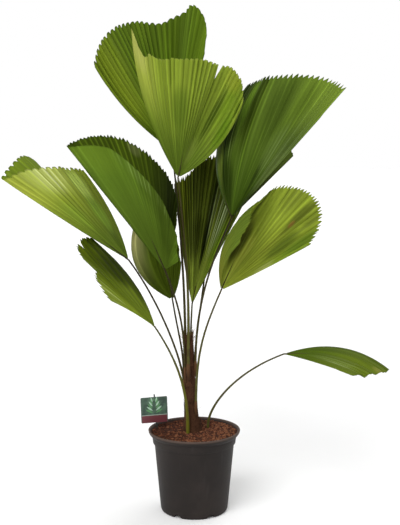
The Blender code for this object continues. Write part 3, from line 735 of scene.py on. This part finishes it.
def petiole_route(name, leaf, rib):
    """A smooth run from the stem or the soil up to the blade, and a little way along its rib."""
    ring, foot_z, upright, turn, rise, run, foot_radius = leaf["petiole"]
    foot_radius *= MM
    if name in SOIL_FEET:
        x, y = SOIL_FEET[name]
        foot = np.array((x, y, SOIL_MOUND + GAP))
    else:
        axis = stem_axis(foot_z * MM)
        out = direction(ring, 0.0) * (stem_radius(foot_z * MM) + foot_radius + GAP)
        foot = np.array(axis) + out
    head = np.array(leaf["hastula"]) * MM
    points = []
    if name in SOIL_FEET:
        points.append(foot)
        foot = foot + np.array((0.0, 0.0, SOIL_RISE))
    first = foot + np.array((0.0, 0.0, upright * MM))
    second = head - direction(turn, rise) * run * MM
    for t in np.linspace(0.0, 1.0, 44):
        points.append((1 - t)**3 * foot + 3 * (1 - t)**2 * t * first
                      + 3 * (1 - t) * t * t * second + t**3 * head)
    share = np.linspace(0.0, 1.0, len(points))
    radii = list(foot_radius + (PETIOLE_HEAD - foot_radius) * share ** PETIOLE_TAPER)
    for row, radius in ((2, 0.0019), (4, 0.0014), (6, 0.0009), (8, 0.0004)):
        points.append(rib[row])
        radii.append(radius)
    return np.array(points), np.array(radii)


def rolled(points, radii, sides, relief=None):
    """A tube's grid of points: rings round a route, with an optional relief on each."""
    tangents = unit(np.gradient(points, axis=0))
    side = unit(np.cross(tangents, np.array((0.0, 1.0, 0.05))))
    front = np.cross(side, tangents)
    rings = []
    for i, (point, radius) in enumerate(zip(points, radii)):
        ring = []
        for k in range(sides + 1):
            angle = 2.0 * math.pi * (k % sides) / sides
            r = radius if relief is None else radius + relief(angle, point[2], i)
            ring.append(point + r * (math.cos(angle) * side[i] + math.sin(angle) * front[i]))
        rings.append(ring)
    return np.array(rings)


def tube_mesh(points, radii, sides, relief=None, strip=(0.0, 1.0)):
    """A closed tube with maps that run round and along it."""
    rings = rolled(points, radii, sides, relief)
    bm = sheet_mesh(rings, np.linspace(0.0, 1.0, sides + 1))
    bake = bm.loops.layers.uv["OFBake"]
    for face in bm.faces:
        for loop in face.loops:
            u, v = loop[bake].uv
            loop[bake].uv = (strip[0] + (strip[1] - strip[0]) * (0.02 + 0.96 * u), 0.005 + 0.99 * v)
    bmesh.ops.remove_doubles(bm, verts=bm.verts, dist=1e-7)
    bmesh.ops.holes_fill(bm, edges=[edge for edge in bm.edges if edge.is_boundary], sides=0)
    bmesh.ops.recalc_face_normals(bm, faces=bm.faces)
    return bm


def absorb(whole, part, finish=0):
    """Adds the faces of a bmesh to another one, with a finish's number."""
    for face in part.faces:
        face.material_index = finish
    scratch = bpy.data.meshes.new("scratch")
    part.to_mesh(scratch)
    part.free()
    whole.from_mesh(scratch)
    bpy.data.meshes.remove(scratch)


PETIOLE_TINTS = {"low_left": 1, "low_right": 0, "mid_right": 0, "top_front": 0, "mid_left": 2,
                 "outer_left": 2, "top_back": 2, "upper_right": 2, "centre_back": 0,
                 "hidden_back": 2, "low_centre": 2}


def clasp(points, radii):
    """The sheath that clasps the foot of a petiole and runs down into the stem."""
    foot = points[0]
    low = foot[2] - 0.034
    out = unit(foot - np.array(stem_axis(foot[2])))
    start = np.array(stem_axis(low)) + out * (stem_radius(low) - 0.0025)
    rise = 0.022 / np.linalg.norm(points[1] - points[0])
    top = points[0] + (points[1] - points[0]) * rise
    route = [start + (foot - start) * share for share in np.linspace(0.0, 1.0, 12)[:-1]]
    route += [foot + (top - foot) * share for share in np.linspace(0.0, 1.0, 8)]
    swell = np.interp(np.arange(len(route)), (0, 5, 11, 15, 18), (0.25, 0.85, 1.22, 1.16, 1.02))
    return tube_mesh(np.array(route), radii[0] * swell, 16, clasp_relief)


def clasp_relief(angle, z, row):
    """Fibres that stand out of a sheath."""
    return 0.0004 * noise.noise(Vector((math.cos(angle) * 5.0, math.sin(angle) * 5.0, z * 60.0)))


def grow_leaves():
    petioles = bmesh.new()
    clasps = bmesh.new()
    for whole in (petioles, clasps):
        whole.loops.layers.uv.new("fan")
        whole.loops.layers.uv.new("OFBake")
    for i, (name, leaf) in enumerate(LEAVES.items()):
        rib = grow_blade(name, leaf, i + 1)
        points, radii = petiole_route(name, leaf, rib)
        part = tube_mesh(points, radii, 12, strip=(i / len(LEAVES), (i + 1) / len(LEAVES)))
        absorb(petioles, part, PETIOLE_TINTS[name])
        if name not in SOIL_FEET:
            absorb(clasps, clasp(points, radii))
    finishes = [
        petiole_finish("petiole_olive", (0.085, 0.082, 0.019), (0.060, 0.054, 0.016), (0.044, 0.028, 0.012)),
        petiole_finish("petiole_fresh", (0.120, 0.115, 0.012), (0.060, 0.060, 0.014), (0.070, 0.062, 0.012)),
        petiole_finish("petiole_brown", (0.052, 0.044, 0.013), (0.030, 0.025, 0.010), (0.028, 0.017, 0.009))]
    new_piece("petioles", petioles, finishes, ["petiole_" + name for name in LEAVES], 60)
    new_piece("petiole_clasps", clasps, [petiole_finish("clasp", (0.042, 0.020, 0.010), (0.102, 0.050, 0.022),
                                                        (0.060, 0.030, 0.014))], (), 60)


def sheath_relief(angle, z, row):
    """Overlapping sheath edges and fibres that stand out of the stem."""
    turn = z / 0.030 + 1.6 * math.sin(angle + z * 31.0)
    step = 0.0016 * (1.0 - turn % 1.0) ** 2
    fibre = 0.0007 * noise.noise(Vector((math.cos(angle) * 9.0, math.sin(angle) * 9.0, z * 26.0)))
    lumps = 0.0010 * noise.noise(Vector((math.cos(angle) * 1.6, math.sin(angle) * 1.6, z * 40.0)))
    return step + fibre + lumps - 0.0006


def sheath(angle, foot, height, spread, proud, lean, chance):
    """One torn leaf sheath that wraps part of the stem."""
    rows = 16
    columns = 15
    tears = chance.uniform(0.72, 1.0, columns)
    points = np.empty((rows, columns, 3))
    for i in range(rows):
        for k in range(columns):
            share = i / (rows - 1) * tears[k]
            z = foot + height * share
            narrow = 1.0 - 0.80 * share ** 1.3
            a = math.radians(angle) + math.radians(spread) * narrow * (2.0 * k / (columns - 1) - 1.0)
            r = stem_radius(z) + proud * (1.0 - 0.4 * share) + lean * share * share
            r += 0.0006 * noise.noise(Vector((a * 7.0, z * 30.0, angle)))
            axis = stem_axis(z)
            points[i, k] = (axis.x + r * math.cos(a), axis.y + r * math.sin(a), z)
    bm = sheet_mesh(points, np.linspace(0.0, 1.0, columns))
    geometry = bm.faces[:] + bm.edges[:] + bm.verts[:]
    bmesh.ops.solidify(bm, geom=geometry, thickness=0.0009)
    bmesh.ops.recalc_face_normals(bm, faces=bm.faces)
    return bm


def strand(foot, way, length, radius, curl, chance):
    """A loose fibre: a three-sided hair with a bend."""
    steps = 5
    side = unit(np.cross(way, chance.standard_normal(3)))
    share = np.linspace(0.0, 1.0, steps)[:, None]
    points = foot + way * share * length + side * curl * share ** 2 * length
    bm = bmesh.new()
    bmesh.ops.create_circle(bm, segments=3, radius=radius)
    turn = Vector(way).to_track_quat("Z", "Y").to_matrix().to_4x4()
    bmesh.ops.transform(bm, matrix=Matrix.Translation(points[0]) @ turn, verts=bm.verts)
    edges = bm.edges[:]
    for i in range(1, steps):
        grown = bmesh.ops.extrude_edge_only(bm, edges=edges)["geom"]
        verts = [g for g in grown if isinstance(g, bmesh.types.BMVert)]
        edges = [g for g in grown if isinstance(g, bmesh.types.BMEdge)]
        bmesh.ops.translate(bm, vec=Vector(points[i] - points[i - 1]), verts=verts)
        bmesh.ops.scale(bm, vec=(0.8,) * 3, verts=verts, space=Matrix.Translation(-Vector(points[i])))
    return bm


def grow_stem():
    heights = np.linspace(STEM_FOOT.z, STEM_TIP.z - 0.004, 130)
    points = np.array([stem_axis(z) for z in heights])
    radii = np.array([stem_radius(z) for z in heights])
    radii[-4:] *= (0.92, 0.78, 0.55, 0.25)
    bm = tube_mesh(points, radii, 64, sheath_relief)
    bark = stem_finish("stem_sheath", (0.026, 0.011, 0.006), (0.078, 0.033, 0.018))
    new_piece("stem_bark", bm, [bark], ("stem",), 50)
    grow_sheaths(stem_finish("sheath_dry", (0.034, 0.015, 0.008), (0.100, 0.045, 0.024)))


def grow_sheaths(finish):
    chance = np.random.default_rng(71)
    sheaths = bmesh.new()
    sheaths.loops.layers.uv.new("fan")
    sheaths.loops.layers.uv.new("OFBake")
    places = ((-12, 0.2105, 0.078, 80, 0.0030, -0.002), (160, 0.2105, 0.085, 85, 0.0024, 0.002),
              (-95, 0.2110, 0.060, 70, 0.0016, 0.001), (70, 0.2120, 0.095, 80, 0.0022, 0.002),
              (-60, 0.268, 0.090, 75, 0.0014, 0.001), (120, 0.285, 0.090, 80, 0.0016, 0.003),
              (10, 0.320, 0.095, 70, 0.0012, 0.003), (-150, 0.330, 0.090, 70, 0.0013, 0.002),
              (60, 0.375, 0.080, 75, 0.0012, 0.004), (-40, 0.385, 0.078, 65, 0.0010, 0.003),
              (-170, 0.395, 0.066, 65, 0.0010, 0.003), (-28, 0.2102, 0.042, 58, 0.0052, 0.004),
              (-70, 0.2102, 0.030, 50, 0.0036, 0.003), (8, 0.2102, 0.034, 55, 0.0058, 0.005),
              (-120, 0.2102, 0.052, 45, 0.0034, 0.003), (-80, 0.425, 0.052, 60, 0.0012, 0.003),
              (20, 0.430, 0.050, 60, 0.0012, 0.004), (-140, 0.430, 0.046, 50, 0.0012, 0.004))
    for place in places:
        absorb(sheaths, sheath(*place, chance))
    new_piece("stem_sheaths", sheaths, [finish], (), 60)
    fibres = bmesh.new()
    for _ in range(230):
        z = STEM_FOOT.z + 0.255 * chance.uniform(0.0, 1.0) ** 0.7
        a = chance.uniform(0.0, 2.0 * math.pi)
        out = np.array((math.cos(a), math.sin(a), 0.0))
        foot = np.array(stem_axis(z)) + out * (stem_radius(z) + 0.0008)
        way = unit(out * chance.uniform(0.05, 0.5) + np.array((0, 0, 1.0)) + 0.25 * chance.standard_normal(3))
        absorb(fibres, strand(foot, way, chance.uniform(0.008, 0.028), 0.00022, chance.uniform(-0.6, 0.6), chance))
    for _ in range(70):
        z = STEM_TIP.z - chance.uniform(0.002, 0.040)
        a = chance.uniform(0.0, 2.0 * math.pi)
        out = np.array((math.cos(a), math.sin(a), 0.0))
        foot = np.array(stem_axis(z)) + out * stem_radius(z)
        way = unit(out * chance.uniform(0.3, 1.0) + np.array((0, 0, 1.0)))
        absorb(fibres, strand(foot, way, chance.uniform(0.012, 0.030), 0.0004, chance.uniform(-0.8, 0.8), chance))
    new_piece("stem_fibres", fibres, [bark_finish("fibre", (0.090, 0.040, 0.020), (0.190, 0.100, 0.055))])


def pot_inner_radius(z):
    """Radius of the inside of the wall at a height."""
    top = BODY_RADIUS - WALL
    foot = FOOT_RADIUS - WALL
    collar_foot = POT_HEIGHT - COLLAR_DROP
    if z < collar_foot:
        return foot + (top - foot) * z / collar_foot
    return top + (COLLAR_RADIUS - BODY_RADIUS) * (z - collar_foot) / (COLLAR_DROP - LIP_DROP)


def pot_profile():
    """The pot's section, from the inside of its floor over the lip to its underside."""
    height = POT_HEIGHT
    lip_foot = height - LIP_DROP
    collar_foot = height - COLLAR_DROP
    return [
        (0.0, FLOOR), (pot_inner_radius(FLOOR) - 0.004, FLOOR), (pot_inner_radius(FLOOR), FLOOR + 0.004),
        (pot_inner_radius(collar_foot), collar_foot), (pot_inner_radius(lip_foot), lip_foot),
        (RIM_RADIUS - LIP_WALL, height - 0.002), (RIM_RADIUS - 0.0048, height - 0.0006),
        (RIM_RADIUS - 0.0036, height), (RIM_RADIUS - 0.0016, height), (RIM_RADIUS - 0.0004, height - 0.0005),
        (RIM_RADIUS, height - 0.0018), (RIM_RADIUS - 0.0006, height - 0.0045),
        (RIM_RADIUS - 0.0018, height - 0.0075), (RIM_RADIUS - 0.0038, lip_foot + 0.0045),
        (RIM_RADIUS - 0.0062, lip_foot + 0.0018), (RIM_RADIUS - 0.0085, lip_foot + 0.0002),
        (COLLAR_RADIUS + 0.0003, lip_foot - 0.0008), (COLLAR_RADIUS, lip_foot - 0.0025),
        (COLLAR_RADIUS - 0.0018, collar_foot + 0.0010), (COLLAR_RADIUS - 0.0026, collar_foot - 0.0002),
        (BODY_RADIUS + 0.0008, collar_foot - 0.0012), (BODY_RADIUS, collar_foot - 0.0040),
        (FOOT_RADIUS + 0.0012, FLOOR + 0.002),
        (FOOT_RADIUS - 0.0002, 0.0050), (FOOT_RADIUS - 0.0022, 0.0014), (FOOT_RADIUS - 0.0050, 0.0),
        (0.0, 0.0)]


def pot_cutters():
    """Round-topped grooves between the feet, each with a drain hole at its inner end."""
    bm = bmesh.new()
    reach = FOOT_RADIUS + 0.020 - DRAIN_RING
    for index in range(FEET):
        turn = Matrix.Rotation(math.radians(-60.0 + 360.0 / FEET * index), 4, "Z")
        lie = turn @ Matrix.Translation((DRAIN_RING + reach / 2, 0, 0)) @ Matrix.Rotation(math.pi / 2, 4, "Y")
        squash = Matrix.Diagonal((ARCH_HEIGHT / ARCH_WIDTH * 2, 1.0, 1.0, 1.0))
        bmesh.ops.create_cone(bm, cap_ends=True, segments=24, radius1=ARCH_WIDTH / 2, radius2=ARCH_WIDTH / 2,
                              depth=reach, matrix=lie @ squash)
        drop = turn @ Matrix.Translation((DRAIN_RING + DRAIN_RADIUS, 0, 0))
        bmesh.ops.create_cone(bm, cap_ends=True, segments=20, radius1=DRAIN_RADIUS, radius2=DRAIN_RADIUS,
                              depth=FLOOR * 4, matrix=drop)
    mesh = bpy.data.meshes.new("pot_cutters")
    bm.to_mesh(mesh)
    bm.free()
    return bpy.data.objects.new("pot_cutters", mesh)


def build_pot():
    bm = bmesh.new()
    verts = [bm.verts.new((r, 0.0, z)) for r, z in pot_profile()]
    edges = [bm.edges.new(pair) for pair in zip(verts, verts[1:])]
    bmesh.ops.spin(bm, geom=verts + edges, cent=(0, 0, 0), axis=(0, 0, 1), angle=2 * math.pi,
                   steps=POT_STEPS, use_merge=True)
    bmesh.ops.remove_doubles(bm, verts=bm.verts, dist=1e-6)
    bmesh.ops.recalc_face_normals(bm, faces=bm.faces)
    pot = new_piece("pot_shell", bm, [pot_finish()], ("pot",))
    cutters = pot_cutters()
    bpy.context.scene.collection.objects.link(cutters)
    taken = pot.modifiers.new("cut", "BOOLEAN")
    taken.operation = "DIFFERENCE"
    taken.solver = "EXACT"
    taken.use_self = True
    taken.object = cutters
    solid = bpy.data.meshes.new_from_object(pot.evaluated_get(bpy.context.evaluated_depsgraph_get()))
    pot.modifiers.clear()
    old = pot.data
    pot.data = solid
    bpy.data.meshes.remove(old)
    bpy.data.objects.remove(cutters, do_unlink=True)
    solid.shade_smooth()
    solid.set_sharp_from_angle(angle=math.radians(35))


def soil_height(x, y):
    """The lumpy top of the potting mix."""
    radius = math.hypot(x, y)
    mound = SOIL_EDGE + (SOIL_MOUND - SOIL_EDGE) * min(1.0, max(0.0, (0.113 - radius) / 0.045))
    lumps = 0.0016 * noise.noise(Vector((x * 45.0, y * 45.0, 0.0)))
    grit = 0.0008 * noise.noise(Vector((x * 190.0, y * 190.0, 3.0)))
    return mound + lumps + grit - 0.0010


def build_soil():
    floor = FLOOR + GAP
    lip_foot = POT_HEIGHT - LIP_DROP
    collar_foot = POT_HEIGHT - COLLAR_DROP
    wall_top = pot_inner_radius(lip_foot)
    share = (SOIL_EDGE - lip_foot) / (POT_HEIGHT - 0.002 - lip_foot)
    edge = wall_top + (RIM_RADIUS - LIP_WALL - wall_top) * share
    profile = [(0.0, floor), (pot_inner_radius(floor) - GAP, floor),
               (pot_inner_radius(collar_foot) - GAP, collar_foot), (wall_top - GAP, lip_foot)]
    profile += [(r, SOIL_EDGE) for r in np.linspace(edge - GAP, 0.0, 60)]
    bm = bmesh.new()
    verts = [bm.verts.new((r, 0.0, z)) for r, z in profile]
    edges = [bm.edges.new(pair) for pair in zip(verts, verts[1:])]
    bmesh.ops.spin(bm, geom=verts + edges, cent=(0, 0, 0), axis=(0, 0, 1), angle=2 * math.pi,
                   steps=120, use_merge=True)
    bmesh.ops.remove_doubles(bm, verts=bm.verts, dist=1e-6)
    for vert in bm.verts:
        if vert.co.z > lip_foot + GAP:
            vert.co.z = soil_height(vert.co.x, vert.co.y)
    bmesh.ops.recalc_face_normals(bm, faces=bm.faces)
    new_piece("soil_bed", bm, [bark_finish("soil_mix", (0.020, 0.009, 0.006), (0.075, 0.030, 0.018))],
              ("soil",), 60)
    scatter_bark(edge)


def scatter_bark(edge):
    """Loose chips and coir on the potting mix, in four plain tints, darker at the back left as painted shade and
    lighter at the front right as painted light.
    """
    chance = np.random.default_rng(29)
    chips = bmesh.new()
    for _ in range(1900):
        radius = (edge - 0.004) * math.sqrt(chance.uniform(0.0, 1.0))
        angle = chance.uniform(0.0, 2.0 * math.pi)
        x = radius * math.cos(angle)
        y = radius * math.sin(angle)
        if math.hypot(x - STEM_FOOT.x, y - STEM_FOOT.y) < STEM_FLARE:
            continue
        size = 0.0016 + 0.0042 * chance.uniform(0.0, 1.0) ** 2.2
        part = bmesh.new()
        bmesh.ops.create_icosphere(part, subdivisions=1, radius=size)
        flat = Matrix.Diagonal((1.0, chance.uniform(0.35, 0.7), chance.uniform(0.22, 0.45), 1.0))
        roll = Matrix.Rotation(chance.uniform(0, 6.3), 4, "Z") @ Matrix.Rotation(chance.normal(0, 0.35), 4, "X")
        rise = Matrix.Translation((x, y, soil_height(x, y) + size * 0.12))
        for vert in part.verts:
            vert.co *= chance.uniform(0.75, 1.2)
        bmesh.ops.transform(part, matrix=rise @ roll @ flat, verts=part.verts)
        # Painted shade and light: chips to the back left take darker tints, to the front right lighter ones, with a
        # random spread.
        light = 0.62 + (x - 0.6 * y) / 0.36 + chance.normal(0.0, 0.30)
        absorb(chips, part, min(3, max(0, int(light * 4.0))))
    for vert in chips.verts:
        vert.co.z = min(vert.co.z, POT_HEIGHT + 0.001)
    tints = (((0.018, 0.008, 0.006), (0.060, 0.025, 0.016)), ((0.040, 0.014, 0.008), (0.120, 0.042, 0.022)),
             ((0.074, 0.025, 0.013), (0.200, 0.072, 0.037)), ((0.105, 0.042, 0.021), (0.265, 0.110, 0.056)))
    finishes = [bark_finish("bark_%d" % i, *tint) for i, tint in enumerate(tints)]
    new_piece("bark_chips", chips, finishes, (), 30)


def card_plane():
    return Matrix.Translation(CARD_CENTRE) @ Matrix.Rotation(math.radians(CARD_TURN), 4, "Z")


def card_matrix():
    return card_plane() @ Matrix.Rotation(math.radians(-CARD_TILT), 4, "Y")


def build_label():
    bm = bmesh.new()
    bmesh.ops.create_cube(bm, size=1.0, matrix=Matrix.Diagonal((CARD_WIDTH, CARD_THICKNESS, CARD_HEIGHT, 1.0)))
    corners = [edge for edge in bm.edges if abs(edge.verts[0].co.y - edge.verts[1].co.y) > CARD_THICKNESS / 2]
    bmesh.ops.bevel(bm, geom=corners, offset=0.003, segments=5, profile=0.5, affect="EDGES", material=-1)
    bmesh.ops.transform(bm, matrix=card_matrix(), verts=bm.verts)
    new_piece("card", bm, [card_finish()], ("label_card",), 30)
    rise = STICK_TOP - STICK_FOOT
    centre = (STICK_TOP + STICK_FOOT) / 2
    centre.y = CARD_THICKNESS / 2 + GAP + STICK_THICKNESS / 2
    lean = Matrix.Rotation(math.atan2(rise.x, rise.z), 4, "Y")
    bm = bmesh.new()
    bmesh.ops.create_cube(bm, size=1.0, matrix=Matrix.Diagonal((STICK_WIDTH, STICK_THICKNESS, rise.length, 1.0)))
    bmesh.ops.bevel(bm, geom=bm.edges[:], offset=0.0006, segments=2, profile=0.5, affect="EDGES", material=-1)
    bmesh.ops.transform(bm, matrix=card_plane() @ Matrix.Translation(centre) @ lean, verts=bm.verts)
    finish = Finish("stick_plastic", 0.45)
    grain = finish.noise(finish.object_place(), 300.0, 2.0)
    finish.set(Base_Color=finish.mix(grain, (0.016, 0.022, 0.018), (0.034, 0.044, 0.036)))
    finish.set(Normal=finish.bump(grain, 0.0002))
    new_piece("stick", bm, [finish.material], ("label_stick",), 40)
    build_sprig()


def card_finish():
    """Printed card: a dark leafy ground over a plain maroon foot, in a pale edge."""
    finish = Finish("card_print", 0.38, Specular_IOR_Level=0.5)
    turned = finish.node("ShaderNodeMapping", {"vector_type": "TEXTURE"}, finish.object_place(),
                         Location=CARD_CENTRE,
                         Rotation=(0.0, math.radians(-CARD_TILT), math.radians(CARD_TURN)))
    x, _, z = finish.split(turned)
    cloud = finish.noise(turned, 60.0, 3.0)
    ground = finish.mix(finish.step(cloud, 0.35, 0.7), (0.020, 0.045, 0.030), (0.060, 0.120, 0.075))
    foot = finish.step(z, -0.0135, -0.0145)
    colour = finish.mix(foot, ground, (0.110, 0.020, 0.026))
    line = finish.step(abs(z + 0.0140), 0.0010, 0.0006)
    colour = finish.mix(line, colour, (0.32, 0.40, 0.34))
    edge = finish.step(abs(x), CARD_WIDTH / 2 - 0.0022, CARD_WIDTH / 2 - 0.0018)
    colour = finish.mix(edge, colour, (0.075, 0.105, 0.090))
    finish.set(Base_Color=colour, Roughness=0.34 + 0.1 * cloud)
    return finish.material


def build_sprig():
    """Plain leaf shapes printed on the card, as a raised film."""
    whole = bmesh.new()
    film = 0.00012
    leaves = []
    for side in (-1, 1):
        for i in range(6):
            leaves.append((side * 0.004, -0.008 + i * 0.0058, 90 - side * (62 - i * 9), 0.021 - i * 0.0012))
    leaves.append((0.0, 0.022, 90, 0.010))
    for x, z, turn, length in leaves:
        part = bmesh.new()
        bmesh.ops.create_circle(part, cap_ends=True, segments=20, radius=0.5)
        for vert in part.verts:
            taper = 1.0 - abs(vert.co.x * 2.0) ** 2.0 * 0.7
            vert.co.y *= 0.26 * taper
            vert.co.x += 0.5
        bmesh.ops.scale(part, vec=(length,) * 3, verts=part.verts)
        bmesh.ops.rotate(part, cent=(0, 0, 0), matrix=Matrix.Rotation(math.radians(turn), 3, "Z"), verts=part.verts)
        bmesh.ops.translate(part, vec=(x, z, 0.0), verts=part.verts)
        grown = bmesh.ops.extrude_face_region(part, geom=part.faces[:])["geom"]
        bmesh.ops.translate(part, vec=(0, 0, film), verts=[g for g in grown if isinstance(g, bmesh.types.BMVert)])
        bmesh.ops.recalc_face_normals(part, faces=part.faces)
        absorb(whole, part, len(whole.faces) // 22 % 2)
    stand = card_matrix() @ Matrix.Translation((0, -CARD_THICKNESS / 2, 0)) @ Matrix.Rotation(math.pi / 2, 4, "X")
    bmesh.ops.transform(whole, matrix=stand, verts=whole.verts)
    finishes = []
    for name, dark, light in (("print_deep", (0.05, 0.17, 0.06), (0.10, 0.28, 0.10)),
                              ("print_pale", (0.20, 0.38, 0.24), (0.42, 0.58, 0.44))):
        finish = Finish(name, 0.4)
        finish.set(Base_Color=finish.mix(finish.noise(finish.object_place(), 260.0), dark, light))
        finishes.append(finish.material)
    new_piece("card_sprig", whole, finishes, (), 30)


def add_light(name, source, softness, strength):
    """A soft light from far away, from the way that source points."""
    lamp = bpy.data.lights.new(name, "SUN")
    lamp.angle = math.radians(softness)
    lamp.energy = strength
    made = bpy.data.objects.new(name, lamp)
    bpy.context.scene.collection.objects.link(made)
    made.location = source
    made.rotation_euler = Vector(source).to_track_quat("Z", "Y").to_euler()


def add_backdrop():
    """A white dome that only the camera sees, so that the light stays soft but not flat."""
    bm = bmesh.new()
    bmesh.ops.create_uvsphere(bm, u_segments=48, v_segments=24, radius=45.0)
    mesh = bpy.data.meshes.new("backdrop")
    bm.to_mesh(mesh)
    bm.free()
    dome = bpy.data.objects.new("backdrop", mesh)
    bpy.context.scene.collection.objects.link(dome)
    white = Finish("backdrop_white", 1.0, Emission_Color=(1.0, 1.0, 1.0), Emission_Strength=1.0)
    white.set(Base_Color=(0.0, 0.0, 0.0), Specular_IOR_Level=0.0)
    mesh.materials.append(white.material)
    dome.visible_diffuse = False
    dome.visible_glossy = False
    dome.visible_transmission = False
    dome.visible_shadow = False


def build_studio():
    scene = bpy.context.scene
    camera = bpy.data.objects.new("camera", bpy.data.cameras.new("camera"))
    scene.collection.objects.link(camera)
    camera.location = CAMERA_PLACE
    camera.rotation_euler = (math.radians(CAMERA_PITCH), 0.0, 0.0)
    camera.data.lens = CAMERA_LENS
    camera.data.sensor_width = 36.0
    scene.camera = camera
    scene.view_settings.view_transform = "Standard"
    world = bpy.data.worlds.new("white_room")
    world.use_nodes = True
    world.node_tree.nodes["Background"].inputs["Color"].default_value = (1.0, 1.0, 1.0, 1.0)
    world.node_tree.nodes["Background"].inputs["Strength"].default_value = 0.6
    scene.world = world
    add_light("key", (-1.6, -3.2, 2.8), 45.0, 2.2)
    add_light("top", (1.6, 1.8, 3.0), 40.0, 0.7)
    add_backdrop()
    bm = bmesh.new()
    bmesh.ops.create_circle(bm, cap_ends=True, segments=96, radius=40.0)
    mesh = bpy.data.meshes.new("floor")
    bm.to_mesh(mesh)
    bm.free()
    floor = bpy.data.objects.new("floor", mesh)
    scene.collection.objects.link(floor)
    paper = Finish("floor_paper", 0.9, Specular_IOR_Level=0.1)
    tooth = paper.noise(paper.object_place(), 6.0, 2.0)
    paper.set(Base_Color=paper.mix(tooth, (0.96, 0.96, 0.96), (0.98, 0.98, 0.98)))
    mesh.materials.append(paper.material)


build_studio()
build_pot()
build_soil()
grow_stem()
grow_leaves()
build_label()
